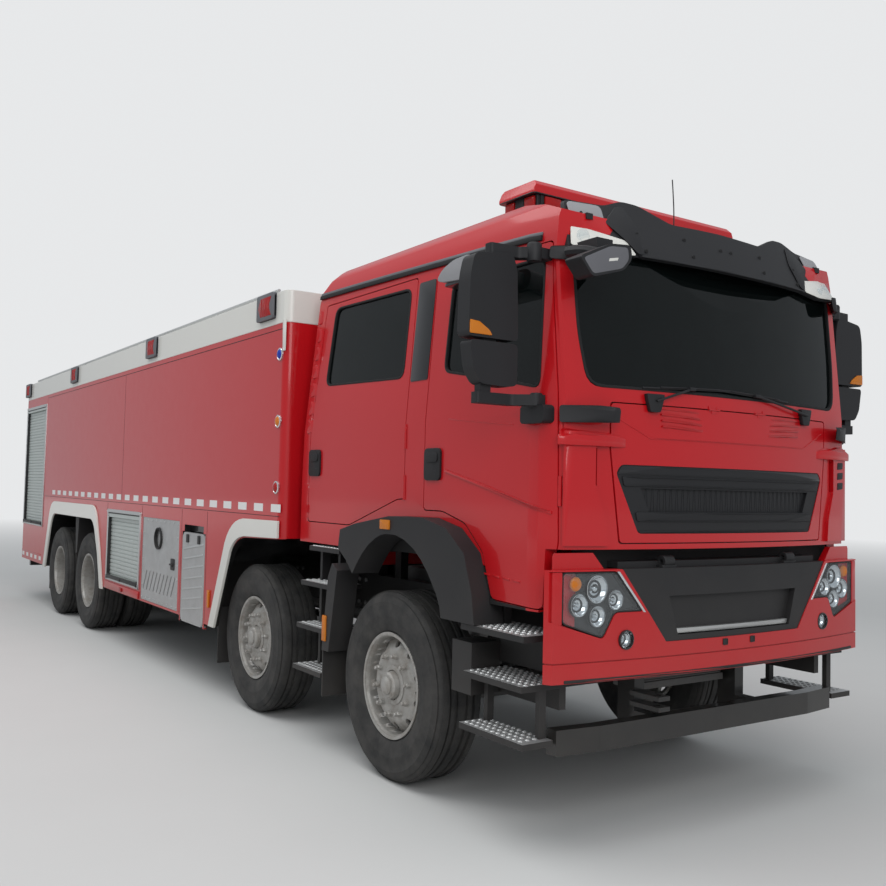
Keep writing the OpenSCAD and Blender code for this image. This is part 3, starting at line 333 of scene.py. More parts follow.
MATERIALS = {
    "red": paint("red_paint", RED),
    "white": paint("white_paint", colour(0.66, 0.65, 0.61), dust=0.5),
    "black": plastic("black_plastic", colour(0.009, 0.009, 0.0105), dust=0.22),
    "gloss": paint("black_gloss", colour(0.012, 0.012, 0.014)),
    "grey": plastic("grey_plastic", colour(0.10, 0.10, 0.11), 0.42),
    "chassis": paint("chassis_paint", colour(0.009, 0.009, 0.010), dust=0.20),
    "seal": plastic("seal_rubber", colour(0.006, 0.006, 0.0065), 0.70, dust=0.1),
    "mirror": metal("mirror_glass", colour(0.70, 0.72, 0.74), 0.03, dust=0.0),
    "reflective": paint("reflective_film", colour(0.70, 0.69, 0.68), dust=0.2),
    "iron": metal("engine_iron", colour(0.13, 0.13, 0.13), 0.6, metallic=0.3),
    "alloy": metal("aluminium", colour(0.60, 0.61, 0.61), 0.34),
    "steel": metal("brushed_steel", colour(0.60, 0.60, 0.59), 0.28, (1, 1, 14)),
    "slats": metal("shutter_aluminium", colour(0.55, 0.59, 0.57), 0.42, (0.2, 1, 8), metallic=0.55),
    "chrome": metal("chrome", colour(0.75, 0.76, 0.77), 0.08, dust=0.1),
    "rubber": rubber("tyre_rubber"),
    "wheel": wheel_paint("wheel_paint"),
    "glass": pane("tinted_glass", colour(0.004, 0.006, 0.006)),
    "clear": lens("clear_lens", colour(0.93, 0.95, 0.96), 0.955),
    "blue": lens("blue_lens", colour(0.01, 0.05, 0.50)),
    "red_film": paint("red_film", colour(0.50, 0.006, 0.010), dust=0.2),
    "silver_grey": plastic("silver_grey_plastic", colour(0.22, 0.22, 0.23), 0.38),
    "felt": plastic("cab_lining", colour(0.12, 0.12, 0.125), 0.8, dust=0.0),
    "amber": lens("amber_lens", colour(0.80, 0.25, 0.02)),
    "ruby": lens("ruby_lens", colour(0.50, 0.01, 0.01)),
    "plate": tread_plate("tread_plate"),
    "cloth": woven("seat_cloth", colour(0.045, 0.045, 0.05)),
}


# Picking, painting and rounding


def deselect():
    """Leaves edit mode and selects nothing."""
    if bpy.context.object and bpy.context.object.mode != "OBJECT":
        bpy.ops.object.mode_set(mode="OBJECT")
    bpy.ops.object.select_all(action="DESELECT")


def pick(*objects):
    """Selects these objects alone, the first one active."""
    deselect()
    for each in objects:
        each.select_set(True)
    bpy.context.view_layer.objects.active = objects[0]


def paint_with(obj, *names):
    """Gives an object these finishes, one slot each."""
    obj.data.materials.clear()
    for name in names:
        obj.data.materials.append(MATERIALS[name])


def apply_modifier(obj, kind, **settings):
    """Adds a modifier with these settings and applies it."""
    pick(obj)
    modifier = obj.modifiers.new(kind, kind)
    for key, value in settings.items():
        setattr(modifier, key, value)
    bpy.ops.object.modifier_apply(modifier=modifier.name)


def smooth(obj, angle=32):
    """Smooth shading, with the edges above an angle kept sharp."""
    pick(obj)
    bpy.ops.object.shade_smooth_by_angle(angle=math.radians(angle))


def flatten_shading(obj):
    """Lets the broad faces lead the shading, so that flat sheets look flat."""
    apply_modifier(obj, "WEIGHTED_NORMAL", keep_sharp=True, weight=80)


def rounded(obj, width, segments=2, angle=35):
    """Rounds the edges above an angle, and smooths the shading."""
    if width:
        apply_modifier(
            obj, "BEVEL", width=width, segments=segments, limit_method="ANGLE",
            angle_limit=math.radians(angle), use_clamp_overlap=True,
        )
    smooth(obj)


def dressed(node, *finishes, bevel=0.003, segments=2):
    """A copy of a CAD node with its loose triangles joined and its edges rounded. It
    stands for the node and rides on the same body."""
    source = frame["nodes"][node]
    mesh = source.data.copy()
    obj = bpy.data.objects.new("skin_" + node, mesh)
    bpy.context.scene.collection.objects.link(obj)
    pick(obj)
    bpy.ops.object.mode_set(mode="EDIT")
    bpy.ops.mesh.select_all(action="SELECT")
    bpy.ops.mesh.remove_doubles(threshold=0.00005)
    bpy.ops.mesh.dissolve_limited(angle_limit=math.radians(0.4))
    bpy.ops.object.mode_set(mode="OBJECT")
    rounded(obj, bevel, segments)
    flatten_shading(obj)
    paint_with(obj, *finishes)
    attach(obj, source["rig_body"])
    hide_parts(node)
    return obj


def finish_faces(obj, index, test):
    """Gives every face whose middle and normal pass the test another of the materials."""
    for face in obj.data.polygons:
        if test(face.center, face.normal):
            face.material_index = index


# The cab's skin, x from the first axle

LEAN = math.tan(math.radians(5.7))
BELT = 2.12
CAB_NOSE = 1.50
CAB_BOW = 5.2
CAB_CORNER = 0.30
CAB_CORNER_Y = 0.84
VISOR_NOSE = 1.477
VISOR_FOOT = 2.82
VISOR_SLOPE = math.tan(math.radians(26))
BUMPER_NOSE = 1.52
BUMPER_BOW = 7.0
BUMPER_CORNER = 0.24
BUMPER_CORNER_Y = 0.97


def bow_depth(radius, y):
    """How far a bow of this radius has fallen back at a distance from the middle."""
    return radius - math.sqrt(radius * radius - y * y)


def corner_reach(radius, past):
    """How far a round corner of this radius still reaches, past its middle."""
    return math.sqrt(max(0.0, radius * radius - past * past))


def cab_half_width(x, z):
    """How far from the middle the cab's side lies at a place along it and a height."""
    side = min(1.14, 1.144 - 0.075 * (z - 1.98))
    if z > 2.9:
        side = 1.075 - 0.15 * (z - 2.9)
    ahead = x + max(0.0, z - BELT) * LEAN - (CAB_NOSE - CAB_CORNER)
    if ahead > 0:
        side = min(side, CAB_CORNER_Y + corner_reach(CAB_CORNER, ahead))
    return side


def cab_nose(y, z):
    """How far forward the cab's front lies at a place across it and a height."""
    front = CAB_NOSE - bow_depth(CAB_BOW, y)
    past = abs(y) - CAB_CORNER_Y
    if past > 0:
        front = min(front, CAB_NOSE - CAB_CORNER + corner_reach(CAB_CORNER, past))
    return front - max(0.0, z - BELT) * LEAN


def bumper_nose(y):
    """How far forward the bumper's front lies at a place across it."""
    front = BUMPER_NOSE - bow_depth(BUMPER_BOW, y)
    past = abs(y) - BUMPER_CORNER_Y
    if past > 0:
        front = min(front, BUMPER_NOSE - BUMPER_CORNER + corner_reach(BUMPER_CORNER, past))
    return front


def soft_corners(corners, reach, steps=4):
    """An outline whose corners are drawn round, each starting a given length before it."""
    points = []
    for i, corner in enumerate(corners):
        here = Vector(corner)
        before = Vector(corners[i - 1]) - here
        after = Vector(corners[(i + 1) % len(corners)]) - here
        a = here + before * min(reach / before.length, 0.49)
        b = here + after * min(reach / after.length, 0.49)
        for k in range(steps + 1):
            u = k / steps
            points.append(tuple(a * (1 - u) ** 2 + here * 2 * u * (1 - u) + b * u * u))
    return points


def box_corners(a0, b0, a1, b1):
    """The outline of a rectangle."""
    return [(a0, b0), (a1, b0), (a1, b1), (a0, b1)]


# Making pieces: every size is in metres and counts x from the first axle

ACROSS = {"x": Vector((1, 0, 0)), "y": Vector((0, 1, 0)), "z": Vector((0, 0, 1))}


def on_plane(facing, a, b, at):
    """A point from its two places on a plane that is square to one axis."""
    if facing == "x":
        return (at, a, b)
    if facing == "y":
        return (a, at, b)
    return (a, b, at)


def edit(obj):
    """Opens one object in edit mode with everything selected."""
    pick(obj)
    bpy.ops.object.mode_set(mode="EDIT")
    bpy.ops.mesh.select_all(action="SELECT")


def leave():
    """Back from edit mode."""
    bpy.ops.object.mode_set(mode="OBJECT")


def flat_face(corners, facing, at):
    """A single face with an outline, square to one axis."""
    deselect()
    bpy.ops.mesh.primitive_circle_add(vertices=len(corners), radius=1, fill_type="NGON")
    obj = bpy.context.object
    for vertex, (a, b) in zip(obj.data.vertices, corners):
        vertex.co = on_plane(facing, a, b, at)
    return obj


def dense(corners, longest=0.11):
    """An outline with points added along its long sides, so that it can follow a bow."""
    points = []
    for i, corner in enumerate(corners):
        here = Vector(corner)
        after = Vector(corners[(i + 1) % len(corners)])
        parts = max(1, math.ceil((after - here).length / longest))
        for k in range(parts):
            points.append(tuple(here.lerp(after, k / parts)))
    return points


def plate(corners, facing, at, thick, rim=None, cuts=0):
    """A plate with an outline, square to one axis; with a rim, only its border that wide.
    With cuts its long sides are divided, so that it can be laid on a bowed skin."""
    if cuts:
        corners = dense(corners)
    obj = flat_face(corners, facing, at)
    edit(obj)
    if rim:
        bpy.ops.mesh.inset(thickness=rim, use_boundary=True)
        bpy.ops.mesh.delete(type="FACE")
        bpy.ops.mesh.select_all(action="SELECT")
    bpy.ops.mesh.extrude_region_move(TRANSFORM_OT_translate={"value": ACROSS[facing] * thick})
    leave()
    return obj


def block(low, high):
    """A box from its lowest to its highest corner."""
    deselect()
    bpy.ops.mesh.primitive_cube_add(size=1)
    obj = bpy.context.object
    for vertex in obj.data.vertices:
        vertex.co = [a + (c + 0.5) * (b - a) for a, b, c in zip(low, high, vertex.co)]
    return obj


def turned(profile, facing="y", centre=(0, 0, 0), steps=32):
    """A body of revolution: profile points are (radius, place along the axis)."""
    obj = flat_face(profile, "y", 0.0)
    for vertex, (r, a) in zip(obj.data.vertices, profile):
        vertex.co = {"y": (r, a, 0), "x": (a, r, 0), "z": (r, 0, a)}[facing]
    edit(obj)
    bpy.ops.mesh.delete(type="ONLY_FACE")
    bpy.ops.mesh.select_all(action="SELECT")
    bpy.ops.mesh.spin(steps=steps, angle=math.tau, center=(0, 0, 0), axis=tuple(ACROSS[facing]))
    bpy.ops.mesh.select_all(action="SELECT")
    bpy.ops.mesh.remove_doubles(threshold=0.00003)
    bpy.ops.mesh.dissolve_degenerate(threshold=0.00001)
    bpy.ops.mesh.select_all(action="SELECT")
    bpy.ops.mesh.normals_make_consistent(inside=False)
    leave()
    moved(obj, centre)
    return obj


def pipe(points, radius, sides=8, smooth_path=True):
    """A round rod, hose or wire through points."""
    deselect()
    data = bpy.data.curves.new("path", "CURVE")
    data.dimensions = "3D"
    data.bevel_depth = radius
    data.bevel_resolution = max(1, sides // 4 - 1)
    data.use_fill_caps = True
    data.resolution_u = 4
    spline = data.splines.new("NURBS" if smooth_path and len(points) > 2 else "POLY")
    spline.points.add(len(points) - 1)
    for point, place in zip(spline.points, points):
        point.co = (*place, 1.0)
    if spline.type == "NURBS":
        spline.order_u = 3
        spline.use_endpoint_u = True
    obj = bpy.data.objects.new("path", data)
    bpy.context.scene.collection.objects.link(obj)
    pick(obj)
    bpy.ops.object.convert(target="MESH")
    return bpy.context.object


def moved(obj, step):
    """Moves the mesh of a piece by a step."""
    edit(obj)
    bpy.ops.transform.translate(value=step)
    leave()
    return obj


def turned_by(obj, degrees, axis, centre):
    """Turns a piece's mesh about an axis through a place, by the right-hand rule."""
    turn = Matrix.Translation(centre) @ Matrix.Rotation(math.radians(degrees), 4, ACROSS[axis])
    obj.data.transform(turn @ Matrix.Translation(-Vector(centre)))
    return obj


def copied(obj, step=(0, 0, 0)):
    """A copy of a piece with its own mesh, moved by a step."""
    twin = obj.copy()
    twin.data = obj.data.copy()
    bpy.context.scene.collection.objects.link(twin)
    return moved(twin, step)


def joined(objects):
    """Pieces joined into the first of them."""
    pick(*objects)
    if len(objects) > 1:
        bpy.ops.object.join()
    return bpy.context.object


def along_side(obj, side):
    """Lays a piece drawn flat, its y counting out from the skin, on one side of the cab."""
    for vertex in obj.data.vertices:
        x, y, z = vertex.co
        vertex.co.y = side * (cab_half_width(x, z) + y)
    return obj


def along_front(obj):
    """Lays a piece, its x counting out from the skin, on the cab's front."""
    for vertex in obj.data.vertices:
        x, y, z = vertex.co
        vertex.co.x = cab_nose(y, z) + x
    return obj


def along_bumper(obj):
    """Lays a piece, its x counting out from the skin, on the bumper's front."""
    for vertex in obj.data.vertices:
        vertex.co.x += bumper_nose(vertex.co.y)
    return obj


def finished(obj, name, body, *finishes, bevel=0.002, segments=2, angle=35):
    """Names a piece, turns its faces outwards, rounds and paints it, and lets it ride."""
    obj.name = name
    obj.data.name = name
    edit(obj)
    bpy.ops.mesh.remove_doubles(threshold=0.00003)
    bpy.ops.mesh.normals_make_consistent(inside=False)
    bpy.ops.transform.translate(value=(FIRST_AXLE, 0, 0))
    leave()
    rounded(obj, bevel, segments, angle)
    if len(obj.data.materials) == 0 or finishes:
        paint_with(obj, *finishes)
    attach(obj, body)
    return obj


def other_side(obj, name, body):
    """The same piece on the other side of the vehicle."""
    twin = obj.copy()
    twin.data = obj.data.copy()
    twin.name = name
    twin.data.name = name
    bpy.context.scene.collection.objects.link(twin)
    edit(twin)
    bpy.ops.transform.resize(value=(1, -1, 1), center_override=(0, 0, 0))
    bpy.ops.mesh.flip_normals()
    leave()
    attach(twin, body)
    return twin


def on_both(obj, name, body, *finishes, **rounding):
    """A piece drawn on the left; it and its mirror image are finished. body may hold SIDE."""
    left = finished(obj, name + "_left", body.replace("SIDE", "left"), *finishes, **rounding)
    right = other_side(left, name + "_right", body.replace("SIDE", "right"))
    return left, right


# CAD pieces with their finishes

# The steps' upper faces: both ends, inner and outer edge, height.
STEP_TOPS = ((0.80, 1.30, 0.96, 1.23, 1.00), (0.83, 1.29, 0.96, 1.23, 0.77), (0.83, 1.33, 1.07, 1.25, 0.52),
             (-1.06, -0.64, 0.90, 1.16, 1.27), (-1.11, -0.70, 0.96, 1.19, 1.04),
             (-1.12, -0.72, 0.98, 1.21, 0.76), (-1.12, -0.72, 1.00, 1.23, 0.49))
PAINTED = {
    "chassis": ("chassis", 0.002), "front_axles": ("chassis", 0.002),
    "rear_axles": ("chassis", 0.003), "engine": ("iron", 0.006), "tanks": ("alloy", 0.004),
    "tie_rod_1": ("chassis", 0.002), "tie_rod_2": ("chassis", 0.002),
    "cab_shell": ("red", 0.004), "visor": ("black", 0.003), "light_bar": ("red", 0.005),
    "bumper": ("red", 0.006), "bumper_panel": ("black", 0.006), "cab_steps": ("black", 0.002),
    "flares": ("black", 0.008),
    "dashboard": ("black", 0.008), "body": ("red", 0.004), "gallery": ("white", 0.008),
    "arch_trims": ("white", 0.004), "shutters": ("slats", 0.001),
    "vent_panels": ("plate", 0.001), "monitor_turret": ("red", 0.003),
    "monitor_barrel": ("red", 0.003), "rear_ladder": ("alloy", 0.001),
    "front_flap": ("red", 0.003),
}
for side in SIDES:
    for axle in (1, 2):
        PAINTED[f"knuckle_{axle}_{side}"] = ("chassis", 0.002)
    for axle in (1, 2, 3, 4):
        PAINTED[f"rim_{axle}_{side}"] = ("wheel", 0.002)
    PAINTED[f"door_front_{side}"] = ("red", 0.004)
    PAINTED[f"door_rear_{side}"] = ("red", 0.004)
    PAINTED[f"mirrors_{side}"] = ("black", 0.008)
    PAINTED[f"step_board_{side}"] = ("plate", 0.004)

skins = {node: dressed(node, finish, bevel=bevel) for node, (finish, bevel) in PAINTED.items()}


def paint_loose_part(obj, place, *names):
    """Gives the separate solid whose skin lies nearest to a place another finish."""
    paint_with(obj, *names)
    target = Vector(place)
    nearest = min(obj.data.vertices, key=lambda v: (v.co - target).length)
    start = nearest.index
    edit(obj)
    bpy.ops.mesh.select_all(action="DESELECT")
    leave()
    obj.data.vertices[start].select = True
    pick(obj)
    bpy.ops.object.mode_set(mode="EDIT")
    bpy.ops.mesh.select_mode(type="VERT")
    bpy.ops.mesh.select_linked()
    obj.active_material_index = len(names) - 1
    bpy.ops.object.material_slot_assign()
    leave()


paint_loose_part(skins["front_flap"], (FIRST_AXLE + 1.49, 0.0, 1.64), "red", "black")
paint_with(skins["cab_steps"], "black", "plate")
for *_, height in STEP_TOPS:
    finish_faces(skins["cab_steps"], 1, lambda c, n, z=height: n.z > 0.9 and abs(c.z - z) < 0.003)
paint_with(skins["body"], "red", "chassis")
finish_faces(skins["body"], 1, lambda c, n: n.z < -0.7
             or (c.z < 1.46 and abs(c.y) < 1.238 and -5.75 < c.x < 2.99))
paint_with(skins["cab_shell"], "red", "seal")
finish_faces(skins["cab_shell"], 1, lambda c, n: c.z < 1.55 and (n.z < -0.35 or abs(c.y) < 1.19)
             and c.x < 5.5)
paint_with(skins["gallery"], "white", "plate")
finish_faces(skins["gallery"], 1, lambda c, n: n.z > 0.9 and c.z < 2.95)
paint_with(skins["light_bar"], "red", "black")
finish_faces(skins["light_bar"], 1, lambda c, n: c.z < 3.2715)
for node in ("cab_glass", "glass_front_left", "glass_front_right", "glass_rear_left", "glass_rear_right"):
    paint_with(frame["nodes"][node], "glass")


# Cab: doors, windows and front

FRONT_WINDOW = [(0.45, 2.80), (0.435, 2.30), (0.82, 2.236), (1.268, 2.15), (1.238, 2.80)]
REAR_WINDOW = [(-0.925, 2.856), (-0.975, 2.33), (0.02, 2.30), (0.03, 2.84)]
WINDSCREEN = [(-0.96, 2.165), (0.96, 2.165), (1.0, 2.42), (1.008, 2.88), (-1.008, 2.88), (-1.0, 2.42)]


def window_seals():
    """Black rubber round every pane, a little proud of the paint."""
    for side, sign in SIDES.items():
        for name, window, reach, body in (
            ("front", FRONT_WINDOW, 0.06, f"door_front_{side}"),
            ("rear", REAR_WINDOW, 0.07, f"door_rear_{side}"),
        ):
            seal = plate(soft_corners(window, reach), "y", -0.016, 0.019, rim=0.013, cuts=1)
            along_side(seal, sign)
            finished(seal, f"window_seal_{name}_{side}", body, "seal", bevel=0.002)
    seal = plate(soft_corners(WINDSCREEN, 0.09), "x", -0.016, 0.019, rim=0.014, cuts=3)
    finished(along_front(seal), "windscreen_seal", "vehicle", "seal", bevel=0.002)
    strip = plate(soft_corners([(0.098, 2.275), (0.279, 2.275), (0.284, 2.85), (0.112, 2.85)], 0.016),
                  "y", 0.0006, 0.003, cuts=1)
    on_both(along_side(strip, 1), "pillar_panel", "vehicle", "gloss", bevel=0.001)


def gutters():
    """Dark drip rail over the doors."""
    for side, sign in SIDES.items():
        line = ((-1.17, 2.972), (-0.7, 2.963), (-0.2, 2.951), (0.3, 2.938), (0.75, 2.926), (1.10, 2.914),
                (1.20, 2.905))
        for name, low, high, out, finish in (("lip", -0.026, 0.0, 0.014, "seal"),
                                             ("flange", 0.0005, 0.018, 0.008, "grey")):
            corners = [(x, z + low) for x, z in line] + [(x, z + high) for x, z in reversed(line)]
            rail = along_side(plate(corners, "y", -0.004, 0.004 + out), sign)
            finished(rail, f"drip_{name}_{side}", "vehicle", finish, bevel=0.003)


def door_handle(name, x, z, body):
    """Black grip plate with a hollow behind a folding bar, and a lock barrel."""
    half_w, half_h = 0.078, 0.088
    corners = soft_corners([(x - half_w, z - half_h), (x + half_w, z - half_h), (x + half_w, z + half_h),
                            (x - half_w, z + half_h)], 0.03)
    cup = plate(corners, "y", -0.002, 0.016)
    edit(cup)
    bpy.ops.mesh.select_all(action="DESELECT")
    leave()
    for face in cup.data.polygons:
        face.select = face.normal.y > 0.9 and face.area > 0.01
    pick(cup)
    bpy.ops.object.mode_set(mode="EDIT")
    bpy.ops.mesh.inset(thickness=0.014)
    bpy.ops.mesh.extrude_region_move(TRANSFORM_OT_translate={"value": (0, -0.012, 0)})
    leave()
    bar = plate(soft_corners([(x - 0.055, z + 0.012), (x + 0.06, z + 0.012), (x + 0.06, z + 0.062),
                              (x - 0.055, z + 0.062)], 0.018), "y", 0.004, 0.018)
    barrel = turned([(0, 0.0), (0.013, 0.0), (0.013, 0.010), (0.010, 0.013), (0.004, 0.013),
                     (0.004, 0.010), (0, 0.010)], "y", (x + 0.035, 0.002, z - 0.045), 16)
    whole = joined([cup, bar, barrel])
    on_both(along_side(whole, 1), name, body, "black", bevel=0.003)


def door_lines():
    """Pressed fold and belt fold in the front doors, and short ribs low on the doors."""
    fold = plate([(0.50, 1.772), (0.90, 1.682), (1.34, 1.576), (1.34, 1.562), (0.90, 1.668),
                  (0.50, 1.758)],
                 "y", -0.003, 0.011, cuts=2)
    on_both(along_side(fold, 1), "door_fold", "door_front_SIDE", "red", bevel=0.002)
    sill = plate([(0.52, 2.045), (1.08, 1.990), (1.08, 1.984), (0.52, 2.039)], "y", -0.003, 0.005, cuts=2)
    on_both(along_side(sill, 1), "belt_fold", "door_front_SIDE", "red", bevel=0.0015)
    for k, x in enumerate((0.86, 0.94, 1.02, 1.10)):
        rib = plate(soft_corners([(x, 1.245 - k * 0.004), (x + 0.055, 1.24 - k * 0.004),
                                  (x + 0.055, 1.250 - k * 0.004), (x, 1.255 - k * 0.004)], 0.004), "y",
                    -0.003, 0.006)
        on_both(along_side(rib, 1), f"door_rib_{k}", "door_front_SIDE", "red", bevel=0.0015)


def rear_vents():
    """Stepped air scoops down the cab's rear corners."""
    for k in range(7):
        z = 2.02 + k * 0.125
        scoop = plate(soft_corners([(-1.178 + k * 0.004, z), (-1.10, z + 0.012), (-1.10, z + 0.085),
                                    (-1.172 + k * 0.004, z + 0.098)], 0.008), "y", -0.004, 0.012)
        for vertex in scoop.data.vertices:
            if vertex.co.y > 0 and vertex.co.x > -1.12:
                vertex.co.y -= 0.009
        on_both(along_side(scoop, 1), f"rear_scoop_{k}", "vehicle", "red", bevel=0.002)


WIPER_Z = 2.115


def wiper(side_name, y):
    """Wiper at rest along the foot of the windscreen."""
    z = WIPER_Z
    x = cab_nose(y, z)
    pivot = turned([(0, -0.02), (0.024, -0.02), (0.024, 0.012), (0.016, 0.024), (0, 0.026)], "x",
                   (x, y, z), 20)
    reach = 0.24 if y < 0 else 0.45
    away = 1 if y < 0.3 else -1
    tip = (y + away * reach, 2.190)
    arm = []
    for k in range(9):
        u = k / 8
        yy = y + (tip[0] - y) * u
        zz = z + (tip[1] - z) * u
        arm.append((cab_nose(yy, zz) + 0.032 - 0.01 * u, yy, zz))
    rod = pipe(arm, 0.007, 8)
    blade_points = []
    for k in range(13):
        u = k / 12 * 2 - 1
        yy = tip[0] + u * 0.30
        zz = tip[1] + u * away * 0.012
        blade_points.append((cab_nose(yy, zz) + 0.004, yy, zz))
    blade = pipe(blade_points, 0.006, 8)
    spine_points = [(px + 0.013, py, pz + 0.004) for px, py, pz in blade_points[2:11]]
    spine = pipe(spine_points, 0.004, 8)
    clip = block((arm[-1][0] - 0.012, tip[0] - 0.02, tip[1] - 0.009),
                 (arm[-1][0] + 0.008, tip[0] + 0.02, tip[1] + 0.009))
    cover = plate(soft_corners([(y - 0.055, 2.150), (y + 0.055, 2.150), (y + 0.046, 2.112),
                                (y + 0.030, 2.062), (y - 0.030, 2.062), (y - 0.046, 2.112)], 0.008),
                  "x", 0.004, 0.022)
    for vertex in cover.data.vertices:
        vertex.co.x += cab_nose(vertex.co.y, min(vertex.co.z, 2.12))
    finished(joined([pivot, rod, blade, spine, clip, cover]), f"wiper_{side_name}", "vehicle", "black",
             bevel=0.0015)


# Low edge, high edge, half width and how far out.
GRILLE_BARS = ((1.700, 1.748, 0.752, 0.004), (1.532, 1.578, 0.672, 0.004), (1.478, 1.486, 0.655, 0.001))


def grille():
    """Gloss band, cross bars and honeycomb of the black grille in the flap."""
    band = plate(soft_corners([(-0.792, 1.757), (0.792, 1.757), (0.764, 1.798), (-0.764, 1.798)], 0.01),
                 "x", -0.006, 0.006, cuts=3)
    finished(along_front(band), "grille_band", "front_flap", "gloss", bevel=0.002)
    for k, (low, high, half, out) in enumerate(GRILLE_BARS):
        bar = plate(soft_corners([(-half, low), (half, low), (half + 0.012, high), (-half - 0.012, high)],
                                 0.012),
                    "x", -0.012, 0.012 + out, cuts=3)
        finished(along_front(bar), f"grille_bar_{k}", "front_flap", "black", bevel=0.004)
    cells = []
    wire = block((-0.024, -0.655, 1.583), (-0.019, -0.653, 1.690))
    for k in range(66):
        y = -0.632 + k * 0.0195
        twin = copied(wire, (0, y + 0.654, 0))
        for vertex in twin.data.vertices:
            if vertex.co.z > 1.6:
                vertex.co.y += 0.006 * (1 if k % 2 else -1)
        cells.append(twin)
    bpy.data.objects.remove(wire)
    for k in range(5):
        cells.append(block((-0.023, -0.64, 1.60 + k * 0.018), (-0.0185, 0.64, 1.602 + k * 0.018)))
    mesh = joined(cells)
    edit(mesh)
    bpy.ops.mesh.subdivide(number_cuts=2)
    leave()
    finished(along_front(mesh), "grille_mesh", "front_flap", "black", bevel=0)


def flap_lines():
    """Pressed fold over the front flap, and rims of its louvres."""
    fold = plate([(-0.80, 2.030), (-0.60, 1.938), (0.60, 1.938), (0.80, 2.030), (0.80, 2.023),
                  (0.60, 1.931), (-0.60, 1.931), (-0.80, 2.023)], "x", -0.003, 0.006, cuts=2)
    finished(along_front(fold), "flap_fold", "front_flap", "red", bevel=0.002)
    for side, sign in SIDES.items():
        for k in range(4):
            z = 1.982 + k * 0.029
            low, high = 0.255 + k * 0.010, 0.53 + k * 0.004
            lip = plate([(sign * low, z), (sign * high, z + 0.010), (sign * high, z + 0.019),
                         (sign * low, z + 0.009)], "x", -0.002, 0.012, cuts=1)
            for vertex in lip.data.vertices:
                if vertex.co.x > 0 and vertex.co.z < z + 0.0095:
                    vertex.co.x -= 0.009
            finished(along_front(lip), f"louvre_{side}_{k}", "front_flap", "red", bevel=0.0015)


def corner_fins():
    """Shelf-like fin over each corner piece, and black plates under the left one that paint the shade
    inside its slot.
    """
    outer, inner = [], []
    for k in range(15):
        u = k / 14
        y = 0.745 + 0.338 * u
        x = cab_nose(y, 1.92)
        grow = 0.050 * math.sin(min(1.0, u * 1.6) * math.pi * 0.5) + 0.002
        direction = Vector((x - 1.15, y - 0.55)).normalized()
        outer.append((x + direction.x * grow, y + direction.y * grow))
        inner.append((x - 0.012, y - 0.004))
    fin = plate(outer + inner[::-1], "z", 1.884, 0.040)
    for vertex in fin.data.vertices:
        if vertex.co.z > 1.9:
            depth = vertex.co.x - cab_nose(min(vertex.co.y, 1.12), 1.92)
            vertex.co.z += max(0.0, 0.040 - depth * 0.9) * min(1.0, max(0.0, (vertex.co.y - 0.745) * 6))
    on_both(fin, "corner_fin", "vehicle", "red", bevel=0.004, angle=50)
    # Black plates on the left corner only: painted shade for the dark inside of the slot there.
    for k in range(3):
        z = 1.712 + k * 0.058
        slot = plate(soft_corners([(0.972, z), (1.045, z + 0.006), (1.050, z + 0.044),
                                   (0.976, z + 0.040)], 0.008), "x",
                     0.012, 0.008, cuts=2)
        finished(along_front(slot), f"corner_slot_shade_{k}", "vehicle", "black", bevel=0.001)


def lamp_unit(y, z, radius, deep):
    """Round reflector bowl with a bulb, facing forward behind the clear cover."""
    x = bumper_nose(y) - 0.016
    bowl = turned([(radius, 0), (radius * 0.96, -0.004), (radius * 0.72, -deep * 0.6),
                   (radius * 0.3, -deep), (0, -deep), (0, -deep - 0.004), (radius * 0.34, -deep - 0.004),
                   (radius * 0.8, -deep * 0.55), (radius * 1.04, -0.004), (radius * 1.04, 0.003),
                   (radius, 0.003)], "x", (x, y, z), 36)
    bulb = turned([(0, -deep), (radius * 0.16, -deep), (radius * 0.2, -deep * 0.5),
                   (radius * 0.12, -deep * 0.25), (0, -deep * 0.2)], "x", (x, y, z), 20)
    return joined([bowl, bulb])


def lamp_rings(y, z, radius, deep):
    """Dark steps in a reflector bowl and the dark ring round it."""
    x = bumper_nose(y) - 0.016
    step = turned([(radius * 0.50, -deep * 0.78), (radius * 0.66, -deep * 0.64),
                   (radius * 0.66, -deep * 0.58), (radius * 0.50, -deep * 0.72)], "x", (x, y, z), 28)
    ring = turned([(radius * 1.03, -0.010), (radius * 1.14, -0.010), (radius * 1.14, 0.001),
                   (radius * 1.03, 0.002)],
                  "x", (x, y, z), 28)
    return joined([step, ring])


